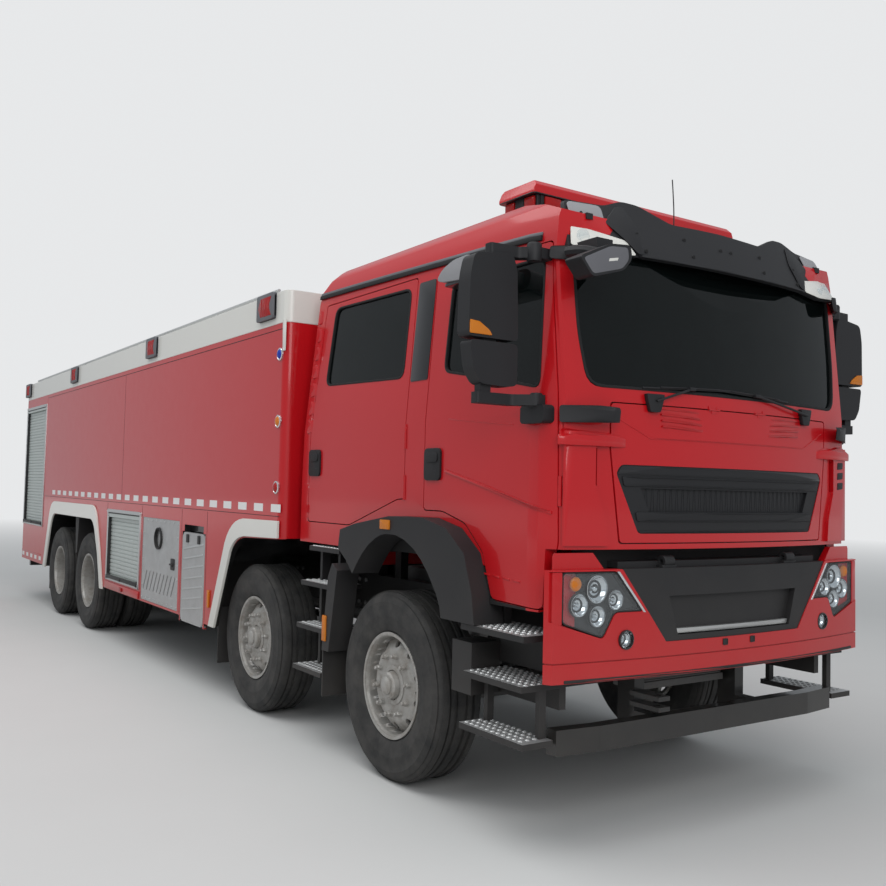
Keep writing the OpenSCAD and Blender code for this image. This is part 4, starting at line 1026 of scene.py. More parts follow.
def headlamp_clusters():
    """Lamp bowls, black surround and bright edge strip under each headlamp cover."""
    outline = soft_corners([(1.112, 1.300), (0.816, 1.298), (0.658, 1.110), (0.822, 1.110),
                            (0.890, 0.992), (1.112, 1.066)], 0.022)
    back = plate(outline, "x", -0.046, 0.006, cuts=2)
    on_both(along_bumper(back), "lamp_back", "vehicle", "black", bevel=0)
    wall = plate(outline, "x", -0.046, 0.042, rim=0.006, cuts=2)
    on_both(along_bumper(wall), "lamp_wall", "vehicle", "black", bevel=0)
    bowls, rings = [], []
    for y, z, radius, deep in ((0.915, 1.218, 0.062, 0.026), (0.808, 1.165, 0.044, 0.024),
                               (0.912, 1.092, 0.046, 0.024), (1.012, 1.146, 0.050, 0.024)):
        bowls.append(lamp_unit(y, z, radius, deep))
        rings.append(lamp_rings(y, z, radius, deep))
    on_both(joined(bowls), "lamp_bowls", "vehicle", "chrome", bevel=0)
    on_both(joined(rings), "lamp_rings", "vehicle", "gloss", bevel=0)
    x = bumper_nose(1.032) - 0.016
    blinker = turned([(0, -0.010), (0.030, -0.010), (0.034, 0), (0.028, 0.008), (0, 0.012)], "x",
                     (x, 1.032, 1.244), 28)
    on_both(blinker, "front_indicator", "vehicle", "amber", bevel=0)
    strip = plate([(0.815, 1.300), (0.800, 1.300), (0.640, 1.104), (0.655, 1.104)], "x", -0.012, 0.014,
                  cuts=2)
    on_both(along_bumper(strip), "lamp_edge", "vehicle", "chrome", bevel=0.002)
    cover = plate(outline, "x", -0.008, 0.004, cuts=3)
    covers = on_both(along_bumper(cover), "headlamp_cover", "vehicle", "clear", bevel=0.001)
    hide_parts("headlamps")
    cheek = plate(soft_corners([(1.114, 1.058), (1.163, 1.070), (1.163, 1.300), (1.114, 1.300)], 0.006),
                  "x", -0.022, 0.020, cuts=2)
    on_both(along_bumper(cheek), "bumper_cheek", "vehicle", "red", bevel=0.004)


def bumper_details():
    """Fog lamps, bright strip of the panel, tow hole covers and the lower lip."""
    y, z, radius, deep = 0.757, 0.980, 0.040, 0.022
    fog = lamp_unit(y, z, radius, deep)
    ring = turned([(0.046, -0.02), (0.046, 0.006), (0.041, 0.008), (0.040, -0.02)], "x",
                  (bumper_nose(y), y, z), 36)
    on_both(fog, "fog_lamp", "vehicle", "chrome", bevel=0)
    on_both(joined([ring, lamp_rings(y, z, radius, deep)]), "fog_ring", "vehicle", "gloss", bevel=0)
    glass = turned([(0, 0), (0.039, 0), (0.039, -0.003), (0, -0.003)], "x",
                   (bumper_nose(y) - 0.006, y, z), 32)
    on_both(glass, "fog_glass", "vehicle", "clear", bevel=0)
    sill = plate(soft_corners([(-0.425, 0.990), (0.425, 0.990), (0.432, 1.014), (-0.432, 1.014)], 0.006),
                 "x", -0.046, 0.030, cuts=3)
    finished(along_bumper(sill), "panel_strip", "vehicle", "steel", bevel=0.003)
    lip = plate(soft_corners([(-1.10, 0.797), (1.10, 0.797), (1.10, 0.812), (-1.10, 0.812)], 0.004),
                "x", -0.02, 0.024, cuts=3)
    finished(along_bumper(lip), "bumper_lip", "vehicle", "black", bevel=0.003)
    for k, y in enumerate((-0.105, 0.105)):
        hole = plate(soft_corners(box_corners(y - 0.014, 0.920, y + 0.014, 0.944), 0.004, 2), "x", -0.001,
                     0.003)
        rim = plate(soft_corners(box_corners(y - 0.018, 0.916, y + 0.018, 0.948), 0.005, 2), "x", -0.001,
                    0.005, rim=0.004)
        finished(along_bumper(joined([hole, rim])), f"bumper_hole_{k}", "vehicle", "black", bevel=0)


def behind_the_flap():
    """A near-black plate between the flap and the bumper, painted shade for the dark gap there, with two
    hose clips on the panel's top.
    """
    # Near-black sheet: painted shade of the gap behind the flap.
    lining_piece = plate(soft_corners(box_corners(-0.98, 1.215, 0.98, 1.425), 0.02), "x", 1.335, 0.010)
    finished(lining_piece, "flap_gap_shade", "vehicle", "seal", bevel=0.002)
    clips = []
    for y in (-0.47, 0.47):
        clips.append(turned([(0.012, -0.035), (0.030, -0.035), (0.030, 0.035), (0.012, 0.035)], "y",
                            (1.455, y, 1.338), 16))
        clips.append(block((1.43, y - 0.05, 1.300), (1.48, y + 0.05, 1.322)))
    finished(joined(clips), "panel_clips", "vehicle", "black", bevel=0.002)


def door_mirrors():
    """Mirror glass facing back with its rims, and the orange repeaters."""
    big = [(1.258, 2.384), (1.510, 2.384), (1.506, 2.645), (1.488, 2.735), (1.290, 2.760), (1.268, 2.69)]
    low = [(1.260, 2.172), (1.292, 2.166), (1.440, 2.170), (1.480, 2.222), (1.500, 2.336), (1.260, 2.336)]
    glasses = [plate(soft_corners(big, 0.028), "x", 1.1365, 0.004),
               plate(soft_corners(low, 0.022), "x", 1.1465, 0.004)]
    on_both(joined(glasses), "mirror_glass", "door_front_SIDE", "mirror", bevel=0.001)
    rims = [plate(soft_corners([(1.2435, 2.369), (1.5235, 2.369), (1.5185, 2.65), (1.4975, 2.749),
                                (1.2805, 2.776), (1.2555, 2.70)], 0.030), "x", 1.1335, 0.008, rim=0.013),
            plate(soft_corners([(1.2455, 2.161), (1.29, 2.1515), (1.449, 2.1555), (1.491, 2.215),
                                (1.5145, 2.3485), (1.2455, 2.3485)], 0.024),
                  "x", 1.1435, 0.008, rim=0.012)]
    on_both(joined(rims), "mirror_rim", "door_front_SIDE", "black", bevel=0.001)
    blinker = plate(soft_corners([(1.522, 2.440), (1.470, 2.436), (1.412, 2.402), (1.395, 2.378),
                                  (1.522, 2.378)], 0.008),
                    "x", 1.228, 0.010)
    on_both(blinker, "mirror_repeater", "door_front_SIDE", "amber", bevel=0.003)


def mirror_mounts():
    """Joints of the mirrors' arms, and the covers of their bases on the cab."""
    knuckle = turned([(0, 0), (0.034, 0), (0.036, 0.010), (0.036, 0.078), (0.030, 0.088), (0, 0.088)],
                     "z", (1.262, 1.178, 2.750), 24)
    elbow = turned([(0, 0), (0.030, 0), (0.032, 0.008), (0.032, 0.060), (0.026, 0.068), (0, 0.068)], "z",
                   (1.262, 1.150, 2.060), 24)
    on_both(joined([knuckle, elbow]), "mirror_joints", "door_front_SIDE", "black", bevel=0)
    pad = plate(soft_corners([(1.385, 1.988), (1.505, 1.992), (1.512, 2.055), (1.498, 2.070),
                              (1.385, 2.068)], 0.012), "y", 0.002, 0.034, cuts=2)
    on_both(along_side(pad, 1), "mirror_base_cover", "vehicle", "black", bevel=0.006)
    upper = plate(soft_corners([(1.30, 2.768), (1.42, 2.752), (1.42, 2.836), (1.30, 2.826)], 0.014), "y",
                  0.001, 0.036, cuts=2)
    on_both(along_side(upper, 1), "mirror_top_cover", "vehicle", "black", bevel=0.006)


def kerb_mirror():
    """The kerb mirror's arm, glass and back, with a painted highlight streak on the back, ahead of the
    right door.
    """
    arm = pipe([(1.38, -1.075, 2.79), (1.44, -1.06, 2.79), (1.50, -1.03, 2.775), (1.53, -1.0, 2.76)],
               0.026, 12)
    finished(arm, "kerb_mirror_arm", "vehicle", "black", bevel=0)
    kerb = plate(soft_corners([(-1.165, 2.714), (-1.100, 2.652), (-0.925, 2.698), (-0.885, 2.742),
                               (-0.892, 2.796), (-1.0, 2.786)], 0.02), "x", 1.477, 0.004)
    finished(kerb, "kerb_mirror_glass", "vehicle", "mirror", bevel=0.001)
    back = plate(soft_corners([(-1.165, 2.712), (-1.102, 2.644), (-0.922, 2.694), (-0.880, 2.742),
                               (-0.888, 2.800), (-1.0, 2.790)], 0.02), "x", 1.5812, 0.0096)
    finished(back, "kerb_mirror_back", "vehicle", "grey", bevel=0.006, segments=3)
    # Thin slanted white streak on the back: a painted highlight.
    patch = plate(soft_corners([(-1.010, 2.716), (-0.955, 2.728), (-0.950, 2.742), (-1.006, 2.730)],
                               0.003), "x", 1.5900, 0.0014)
    finished(patch, "kerb_mirror_highlight", "vehicle", "white", bevel=0.0005)


def visor_front(y, z):
    """How far forward the sun visor's face lies at a place across it and a height."""
    return VISOR_NOSE - bow_depth(CAB_BOW, y) - (z - VISOR_FOOT) * VISOR_SLOPE


def along_visor(obj):
    """Lays a piece, its x counting out from the face, on the sun visor."""
    for vertex in obj.data.vertices:
        vertex.co.x += visor_front(vertex.co.y, vertex.co.z)
    return obj


def visor_details():
    """Grey end plates, white lamp plates with round lamps, screws and edge fold of the visor."""
    end = plate(soft_corners([(0.985, 3.080), (0.790, 3.080), (0.800, 2.985), (0.990, 2.972)], 0.03), "x",
                -0.001, 0.006, cuts=1)
    on_both(along_visor(end), "visor_end", "vehicle", "silver_grey", bevel=0.002)
    lamp = plate(soft_corners([(1.036, 2.834), (0.998, 2.952), (0.706, 2.903), (0.668, 2.826),
                               (0.82, 2.814)], 0.016),
                 "x", -0.008, 0.006, cuts=1)
    on_both(along_visor(lamp), "visor_lamp_plate", "vehicle", "white", bevel=0.002)
    rings = []
    for y, z, radius in ((0.955, 2.890, 0.038), (0.86, 2.862, 0.022)):
        ring = turned([(0, 0), (radius, 0), (radius, 0.008), (radius * 0.8, 0.012),
                       (radius * 0.72, 0.006), (0, 0.006)],
                      "x", (visor_front(y, z) - 0.003, y, z), 28)
        rings.append(ring)
    on_both(joined(rings), "visor_lamp", "vehicle", "clear", bevel=0)
    screws = []
    for y, z in ((0.30, 2.97), (0.28, 2.875), (0.92, 3.02), (0.62, 2.95), (0.60, 2.86), (0.04, 2.95)):
        screws.append(turned([(0, 0), (0.011, 0), (0.011, 0.004), (0.006, 0.006), (0, 0.003)], "x",
                             (visor_front(y, z) - 0.001, y, z), 12))
    on_both(joined(screws), "visor_screw", "vehicle", "seal", bevel=0)
    facet = plate(soft_corners([(0.655, 2.83), (0.71, 2.905), (0.80, 2.99), (0.70, 3.09), (0.645, 3.10),
                                (0.60, 2.98), (0.62, 2.84)], 0.02), "x", -0.002, 0.006, cuts=1)
    on_both(along_visor(facet), "visor_facet", "vehicle", "black", bevel=0.002)
    lip = plate([(-0.646, 2.820), (0.646, 2.820), (0.646, 2.828), (-0.646, 2.828)], "x", -0.012, 0.020,
                cuts=3)
    finished(along_visor(lip), "visor_lip", "vehicle", "black", bevel=0.002)


def light_bar_lamps():
    """Red lenses and dark posts round the foot of the roof light bar, and a lip on its cover."""
    lenses, posts = [], []
    for sign in (-1, 1):
        for k in range(5):
            y0 = 0.030 + k * 0.146
            low, high = sorted((sign * y0, sign * (y0 + 0.112)))
            lenses.append(plate(soft_corners(box_corners(low, 3.204, high, 3.264), 0.006, 2), "x", 0.782,
                                0.014))
            low, high = sorted((sign * (y0 + 0.118), sign * (y0 + 0.140)))
            posts.append(plate(box_corners(low, 3.200, high, 3.268), "x", 0.782, 0.010))
        for x0, x1 in ((0.520, 0.600), (0.690, 0.772)):
            lenses.append(plate(soft_corners(box_corners(x0, 3.204, x1, 3.264), 0.006, 2), "y",
                                sign * 0.7815 - 0.0065, 0.013))
        posts.append(plate(box_corners(0.608, 3.200, 0.682, 3.268), "y", sign * 0.780 - 0.006, 0.012))
    finished(joined(lenses), "bar_lenses", "vehicle", "ruby", bevel=0.002)
    finished(joined(posts), "bar_posts", "vehicle", "black", bevel=0.002)
    lip = plate(soft_corners(box_corners(0.488, -0.812, 0.802, 0.812), 0.02, 2), "z", 3.268, 0.007)
    finished(lip, "bar_cover_lip", "vehicle", "gloss", bevel=0.002)


def aerial():
    """Thin aerial behind the visor."""
    whip = pipe([(1.05, 0, 3.10), (1.05, 0, 3.23), (1.046, -0.003, 3.34), (1.04, -0.006, 3.435)], 0.0035)
    base = turned([(0, 0), (0.022, 0), (0.020, 0.020), (0.008, 0.030), (0, 0.030)], "z", (1.05, 0, 3.095),
                  20)
    finished(joined([whip, base]), "aerial", "vehicle", "black", bevel=0)


def step_details():
    """Raised studs on every step, and the amber side markers."""
    for k, (x0, x1, y0, y1, z) in enumerate(STEP_TOPS):
        studs = []
        stud = turned([(0.0145, 0), (0.0145, 0.002), (0.011, 0.0055), (0.008, 0.0055), (0.0075, 0.001),
                       (0, 0.001), (0, 0)],
                      "z", (0, 0, 0), 8)
        across = int((x1 - x0 - 0.04) / 0.042)
        deep = int((y1 - y0 - 0.03) / 0.042)
        for i in range(across + 1):
            for j in range(deep + 1):
                studs.append(copied(stud, (x0 + 0.025 + i * 0.042, y0 + 0.022 + j * 0.042, z - 0.0005)))
        bpy.data.objects.remove(stud)
        on_both(joined(studs), f"step_studs_{k}", "vehicle", "alloy", bevel=0)
    marker = plate(soft_corners(box_corners(0.015, 1.432, 0.115, 1.486), 0.006), "y", 1.244, 0.012)
    on_both(marker, "flare_marker", "vehicle", "amber", bevel=0.003)
    reflector = plate(soft_corners(box_corners(-0.690, 0.70, -0.640, 0.86), 0.008), "y", 1.234, 0.010)
    on_both(reflector, "flare_reflector", "vehicle", "amber", bevel=0.003)


def ramp_mirror():
    """Silver housing with a downward glass over the right front door."""
    shell = plate(soft_corners([(0.650, 2.742), (0.700, 2.790), (0.800, 2.822), (0.930, 2.828),
                                (0.985, 2.80), (0.985, 2.722),
                                (0.930, 2.706), (0.690, 2.724)], 0.03), "y", -1.325, 0.150)
    foot = plate(soft_corners(box_corners(0.80, 2.735, 0.93, 2.80), 0.01), "y", -1.185, 0.10)
    finished(joined([shell, foot]), "ramp_mirror_shell", "door_front_right", "silver_grey", bevel=0.02,
             segments=3)
    glass = plate(soft_corners([(0.70, -1.315), (0.965, -1.315), (0.965, -1.185), (0.70, -1.185)], 0.03),
                  "z", 2.700, 0.016)
    finished(glass, "ramp_mirror_glass", "door_front_right", "gloss", bevel=0.003)


window_seals()
gutters()
ramp_mirror()
door_handle("front_handle", 0.385, 1.80, "door_front_SIDE")
door_handle("rear_handle", -1.045, 1.82, "door_rear_SIDE")
door_lines()
rear_vents()
wiper("right", -0.59)
wiper("left", 0.59)
grille()
flap_lines()
corner_fins()
headlamp_clusters()
bumper_details()
behind_the_flap()
door_mirrors()
mirror_mounts()
kerb_mirror()
visor_details()
light_bar_lamps()
aerial()
step_details()


# Wheels

WHEEL_Z = 0.538
AXLES = (0.0, -1.95, -6.55, -7.94)
TRUNNION_X = -7.245
SINGLE_Y = 1.02
TWIN_Y = (0.7475, 1.0825)
TWIN_MIDDLE = 0.915
TREAD = [(0.290, 0.111), (0.299, 0.112), (0.306, 0.126), (0.313, 0.132), (0.330, 0.141), (0.360, 0.150),
         (0.392, 0.1545), (0.398, 0.1560), (0.404, 0.1545), (0.440, 0.1560), (0.468, 0.1540),
         (0.474, 0.1552), (0.480, 0.1525), (0.500, 0.147), (0.509, 0.1415), (0.518, 0.1385),
         (0.528, 0.129), (0.5345, 0.118), (0.5372, 0.106), (0.5376, 0.083), (0.5255, 0.081),
         (0.5255, 0.073), (0.5378, 0.071), (0.538, 0.038), (0.5255, 0.036), (0.5255, 0.028),
         (0.538, 0.026)]


def tyre_at_origin():
    """A tyre with four grooves round its tread and notches cut into both shoulders."""
    profile = [(r, a) for r, a in TREAD] + [(r, -a) for r, a in reversed(TREAD)]
    tyre = turned(profile, "y", (0, 0, 0), 96)
    for face in tyre.data.polygons:
        radius = math.hypot(face.center.x, face.center.z)
        turn = math.degrees(math.atan2(face.center.z, face.center.x)) % 360
        face.select = 0.512 < radius < 0.5355 and int(turn / 3.75) % 2 == 0
    for edge in tyre.data.edges:
        edge.select = False
    for vertex in tyre.data.vertices:
        vertex.select = False
    pick(tyre)
    bpy.ops.object.mode_set(mode="EDIT")
    bpy.ops.mesh.select_mode(type="FACE")
    bpy.ops.mesh.extrude_region_shrink_fatten(TRANSFORM_OT_shrink_fatten={"value": -0.0065})
    bpy.ops.mesh.select_mode(type="VERT")
    leave()
    return tyre


def stud_and_nut():
    """A wheel nut on its stud, drawn at the origin."""
    nut = turned([(0, 0), (0.0215, 0), (0.0215, 0.004), (0.0175, 0.005), (0.0175, 0.022), (0.015, 0.026),
                  (0, 0.026)], "y", (0, 0, 0), 6)
    stud = turned([(0, 0.024), (0.011, 0.024), (0.011, 0.039), (0.009, 0.042), (0, 0.042)], "y",
                  (0, 0, 0), 10)
    return joined([nut, stud])


def ring_of(part, count, radius, out, start=0.0):
    """Copies of a part drawn at the origin, set round the wheel's axis."""
    copies = []
    for k in range(count):
        angle = start + math.tau * k / count
        copies.append(copied(part, (radius * math.cos(angle), out, radius * math.sin(angle))))
    bpy.data.objects.remove(part)
    return joined(copies)


def rim_flange(out, sign):
    """Rolled edge and lock ring of a rim on one of its sides."""
    profile = [(0.284, 0.128), (0.300, 0.128), (0.3015, 0.1305), (0.300, 0.134), (0.292, 0.134),
               (0.2835, 0.1315)]
    return turned([(r, out + sign * a) for r, a in profile], "y", (0, 0, 0), 72)


def front_wheel_trim():
    """Nuts, hub bolts, oil cap and edges of a single front wheel, drawn round the origin."""
    nuts = ring_of(stud_and_nut(), 10, 0.1675, 0.1035, math.radians(9))
    step = turned([(0.080, 0.103), (0.112, 0.103), (0.112, 0.110), (0.104, 0.114), (0.086, 0.114)], "y",
                  (0, 0, 0), 48)
    cap = turned([(0, 0.151), (0.050, 0.151), (0.050, 0.159), (0.043, 0.166), (0.030, 0.171), (0, 0.173)],
                 "y", (0, 0, 0), 32)
    bolt = turned([(0, 0), (0.009, 0), (0.009, 0.008), (0.007, 0.010), (0, 0.010)], "y", (0, 0, 0), 6)
    bolts = ring_of(bolt, 8, 0.062, 0.1415)
    valve = pipe([(0.215, 0.086, 0.0), (0.235, 0.100, 0.0), (0.250, 0.121, 0.0)], 0.0045)
    flanges = [rim_flange(0.0, 1), rim_flange(0.0, -1)]
    return joined([nuts, step, cap, bolts, valve] + flanges)


def twin_wheel_trim():
    """Nuts, half-shaft flange with its bolts, and edges of a twin wheel."""
    middle = TWIN_MIDDLE
    inner, outer = TWIN_Y
    nuts = ring_of(stud_and_nut(), 10, 0.160, middle + 0.0115, math.radians(9))
    cap = turned([(0, middle + 0.149), (0.060, middle + 0.149), (0.060, middle + 0.156),
                  (0.050, middle + 0.163), (0, middle + 0.166)], "y", (0, 0, 0), 32)
    bolt = turned([(0, 0), (0.010, 0), (0.010, 0.009), (0.008, 0.011), (0, 0.011)], "y", (0, 0, 0), 6)
    bolts = ring_of(bolt, 10, 0.078, middle + 0.1495)
    collar = turned([(0.104, middle + 0.050), (0.116, middle + 0.050), (0.116, middle + 0.066),
                     (0.105, middle + 0.070)],
                    "y", (0, 0, 0), 40)
    valve = pipe([(0.225, middle + 0.05, 0.0), (0.245, middle + 0.10, 0.0), (0.262, outer + 0.09, 0.0)],
                 0.0045)
    flanges = [rim_flange(outer, 1), rim_flange(outer, -1), rim_flange(inner, 1), rim_flange(inner, -1)]
    return joined([nuts, cap, bolts, collar, valve] + flanges)


def wheels():
    """The tyres, which stand for the plain ones, and the trim of each wheel."""
    tyre = tyre_at_origin()
    single = copied(tyre, (0, SINGLE_Y, 0))
    pair = joined([copied(tyre, (0, y, 0)) for y in TWIN_Y])
    bpy.data.objects.remove(tyre)
    front_trim = moved(front_wheel_trim(), (0, SINGLE_Y, 0))
    twin_trim = twin_wheel_trim()
    for number, x in enumerate(AXLES, 1):
        for part, kind, finish in (
            (single if number < 3 else pair, "tyre", "rubber"),
            (front_trim if number < 3 else twin_trim, "wheel_trim", "wheel"),
        ):
            piece = copied(part, (x, 0, WHEEL_Z))
            left, right = on_both(piece, f"{kind}_detail_{number}", f"wheel_{number}_SIDE", finish,
                                  bevel=0)
            if kind == "tyre":
                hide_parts(f"tyre_{number}_left")
                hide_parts(f"tyre_{number}_right")
    for part in (single, pair, front_trim, twin_trim):
        bpy.data.objects.remove(part)


wheels()


# Body: sides, shutters and lamps

BODY_SIDE = 1.25
BODY_REAR = -10.22
SIDE_LAMP_Z = 2.94
LARGE = (-10.12, -8.91, 1.05, 2.65)
SMALL = (-5.64, -4.54, 0.65, 1.34)


def on_side_wall(corners, out, thick, reach=0.006):
    """A flat piece on the body's left wall, from a depth outwards."""
    return plate(soft_corners(corners, reach, 2), "y", BODY_SIDE + out, thick)


def dashes():
    """Reflective dashes along the side, and bright tape along the foot of the rear locker."""
    marks = []
    x = -1.50
    while x > -8.66:
        marks.append(on_side_wall(box_corners(x, 1.478, x + 0.16, 1.533), 0.0, 0.0012, 0.003))
        x -= 0.2985
    on_both(joined(marks), "side_dashes", "vehicle", "reflective", bevel=0)
    white, red = [], []
    for k in range(9):
        x = -10.13 + k * 0.137
        piece = on_side_wall(box_corners(x, 0.585, x + 0.132, 0.635), 0.0, 0.0012, 0.002)
        (red if k % 2 else white).append(piece)
    on_both(joined(white), "foot_tape_white", "vehicle", "reflective", bevel=0)
    on_both(joined(red), "foot_tape_red", "vehicle", "red_film", bevel=0)


def shutter_frame(name, x0, x1, z0, z1, low):
    """Aluminium frame proud of the wall, and the lift bar with its end latches and lock."""
    w = 0.034
    frame_piece = plate(soft_corners(box_corners(x0 - w, z0 - w * 0.4, x1 + w, z1 + w), 0.008, 2), "y",
                        BODY_SIDE - 0.001, 0.011, rim=w)
    on_both(frame_piece, f"{name}_frame", "vehicle", "alloy", bevel=0.002)
    lip = plate(soft_corners(box_corners(x0 - 0.003, z0, x1 + 0.003, z1), 0.003, 1), "y",
                BODY_SIDE - 0.030, 0.036, rim=0.012)
    on_both(lip, f"{name}_channel", "vehicle", "black", bevel=0.001)
    bar = on_side_wall(box_corners(x0 + 0.015, low - 0.015, x1 - 0.015, low + 0.019), -0.014, 0.034,
                       0.012)
    ends = [on_side_wall(box_corners(x, low - 0.026, x + 0.05, low + 0.030), -0.016, 0.026, 0.008)
            for x in (x0 + 0.012, x1 - 0.062)]
    lock = turned([(0, 0), (0.017, 0), (0.017, 0.012), (0.012, 0.016), (0, 0.016)], "y",
                  ((x0 + x1) / 2, BODY_SIDE + 0.016, low + 0.002), 20)
    on_both(joined([bar, lock] + ends), f"{name}_bar", "vehicle", "black", bevel=0.003)


def locker_fronts():
    """Head boxes, sills and the seams of the lockers round the shutters."""
    head = on_side_wall(box_corners(SMALL[0] - 0.034, 1.342, SMALL[1] + 0.034, 1.366), 0.0, 0.016)
    on_both(head, "small_shutter_head", "vehicle", "alloy", bevel=0.003)
    sill = on_side_wall(box_corners(-5.68, 0.545, -4.50, 0.618), -0.001, 0.014)
    on_both(sill, "small_shutter_sill", "vehicle", "red", bevel=0.004)
    marker = on_side_wall(box_corners(-5.10, 0.560, -5.02, 0.600), 0.013, 0.010)
    on_both(marker, "sill_marker", "vehicle", "ruby", bevel=0.003)
    step = on_side_wall(box_corners(-10.16, 0.655, -8.90, 0.665), -0.002, 0.006)
    on_both(step, "rear_locker_fold", "vehicle", "red", bevel=0.002)
    seams = []
    for x in (-2.735, -3.345, -4.478, -5.70):
        seams.append(on_side_wall(box_corners(x - 0.002, 0.55, x + 0.002, 1.44), -0.001, 0.0018, 0.001))
    seams.append(on_side_wall(box_corners(-8.82, 1.448, -1.36, 1.452), -0.001, 0.0018, 0.001))
    seams.append(on_side_wall(box_corners(-8.82, 2.755, -1.36, 2.760), -0.001, 0.0018, 0.001))
    seams.append(on_side_wall(box_corners(-5.202, 1.46, -5.198, 2.75), -0.001, 0.0016, 0.001))
    on_both(joined(seams), "body_seams", "vehicle", "seal", bevel=0)


def side_lamps():
    """Grey housings with red lenses high on the wall, and round markers on the front column."""
    for k, x in enumerate((-1.655, -4.328, -7.358, -10.084)):
        w, h = 0.145, 0.095
        hood = plate(soft_corners(box_corners(x - w, SIDE_LAMP_Z - h, x + w, SIDE_LAMP_Z + h), 0.022),
                     "y", BODY_SIDE, 0.030)
        for face in hood.data.polygons:
            face.select = face.normal.y > 0.9
        pick(hood)
        bpy.ops.object.mode_set(mode="EDIT")
        bpy.ops.mesh.inset(thickness=0.022)
        bpy.ops.mesh.extrude_region_move(TRANSFORM_OT_translate={"value": (0, -0.010, 0)})
        leave()
        hoods = on_both(hood, f"wall_lamp_{k}", "vehicle", "grey", bevel=0.004)
        if k == 0:
            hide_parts("lamps")
        lens_left = plate([(x - 0.115, SIDE_LAMP_Z), (x - 0.07, 2.872), (x + 0.115, 2.872),
                           (x + 0.07, SIDE_LAMP_Z), (x + 0.115, 3.008), (x - 0.07, 3.008)],
                          "y", BODY_SIDE + 0.018, 0.014)
        ribs = [plate(box_corners(x - 0.06 + j * 0.035, 2.876, x - 0.055 + j * 0.035, 3.004), "y",
                      BODY_SIDE + 0.030, 0.004)
                for j in range(5)]
        on_both(joined([lens_left] + ribs), f"wall_lamp_lens_{k}", "vehicle", "ruby", bevel=0.003)
    for z, tint in ((2.58, "blue"), (2.11, "amber"), (1.65, "ruby")):
        rim = turned([(0, 0), (0.045, 0), (0.045, 0.010), (0.038, 0.014), (0.034, 0.010), (0, 0.010)],
                     "y", (-1.415, BODY_SIDE - 0.001, z), 28)
        on_both(rim, f"round_marker_rim_{tint}", "vehicle", "chrome", bevel=0)
        dome = turned([(0, 0.009), (0.034, 0.009), (0.030, 0.017), (0.018, 0.022), (0, 0.024)], "y",
                      (-1.415, BODY_SIDE - 0.001, z), 28)
        on_both(dome, f"round_marker_{tint}", "vehicle", tint, bevel=0)
    side = on_side_wall(box_corners(-2.665, 0.68, -2.625, 0.82), 0.0, 0.014)
    on_both(side, "front_side_marker", "vehicle", "amber", bevel=0.003)


def column_strip():
    """White strip down the body's front corner."""
    strip = plate([(-1.342, 2.82), (-1.395, 2.82), (-1.385, 2.62), (-1.372, 2.60), (-1.342, 2.60)], "y",
                  BODY_SIDE - 0.004, 0.006)
    on_both(strip, "corner_strip", "vehicle", "white", bevel=0.001)


def vent_panel_details():
    """Round outlet on the right, and latches and rivets of the slotted panels."""
    x, z = -3.955, 1.155
    tube = turned([(0.099, -0.040), (0.099, 0.014), (0.092, 0.017), (0.086, 0.014), (0.086, -0.030),
                   (0, -0.030), (0, -0.040)], "y", (x, BODY_SIDE, z), 40)
    piece = finished(tube, "outlet_right", "vehicle", "black", bevel=0)
    edit(piece)
    bpy.ops.transform.resize(value=(1, -1, 1), center_override=(0, 0, 0))
    bpy.ops.mesh.flip_normals()
    leave()
    bolt = turned([(0, 0), (0.010, 0), (0.010, 0.003), (0.006, 0.006), (0, 0.006)], "y", (0, 0, 0), 8)
    rivets = []
    for k in range(9):
        for zz in (0.585, 1.312):
            rivets.append(copied(bolt, (-4.41 + k * 0.1225, BODY_SIDE - 0.002, zz)))
    for k in range(1, 6):
        for xx in (-4.41, -3.43):
            rivets.append(copied(bolt, (xx, BODY_SIDE - 0.002, 0.585 + k * 0.121)))
    bpy.data.objects.remove(bolt)
    on_both(joined(rivets), "panel_rivets", "vehicle", "alloy", bevel=0)
    plate_piece = on_side_wall(box_corners(-3.60, 0.90, -3.50, 1.00), -0.002, 0.006, 0.010)
    knob = turned([(0, 0), (0.022, 0), (0.022, 0.006), (0.014, 0.014), (0, 0.014)], "y",
                  (-3.55, BODY_SIDE + 0.003, 0.95), 20)
    handle = on_side_wall(box_corners(-3.585, 0.943, -3.515, 0.957), 0.014, 0.008, 0.004)
    on_both(joined([plate_piece, knob, handle]), "panel_latch", "vehicle", "black", bevel=0.002)


def step_board_details():
    """Raised ribs across the folding step boards, and their latches."""
    ribs = []
    for k in range(7):
        z = 0.62 + k * 0.085
        ribs.append(plate([(-3.27, z - 0.030), (-2.81, z + 0.030), (-2.81, z + 0.045),
                           (-3.27, z - 0.015)], "y",
                          BODY_SIDE - 0.002, 0.006))
    on_both(joined(ribs), "board_ribs", "step_board_SIDE", "alloy", bevel=0.002)
    latches = [on_side_wall(box_corners(x, 1.165, x + 0.05, 1.235), -0.002, 0.012, 0.008)
               for x in (-3.20, -2.93)]
    on_both(joined(latches), "board_latches", "step_board_SIDE", "black", bevel=0.003)


def on_rear_wall(corners, out, thick, reach=0.006):
    """A thin plate on the rear wall, from its corners (y, z)."""
    return plate(soft_corners(corners, reach, 2), "x", BODY_REAR - out - thick, thick)


def rear_shutter():
    """Frame and lift bar of the shutter at the back."""
    surround = plate(soft_corners(box_corners(-0.60, 1.085, 0.60, 2.535), 0.008, 2), "x",
                     BODY_REAR - 0.011, 0.012, rim=0.036)
    finished(surround, "rear_shutter_frame", "vehicle", "alloy", bevel=0.002)
    bar = on_rear_wall(box_corners(-0.545, 1.125, 0.545, 1.160), -0.014, 0.034, 0.012)
    finished(bar, "rear_shutter_bar", "vehicle", "black", bevel=0.003)


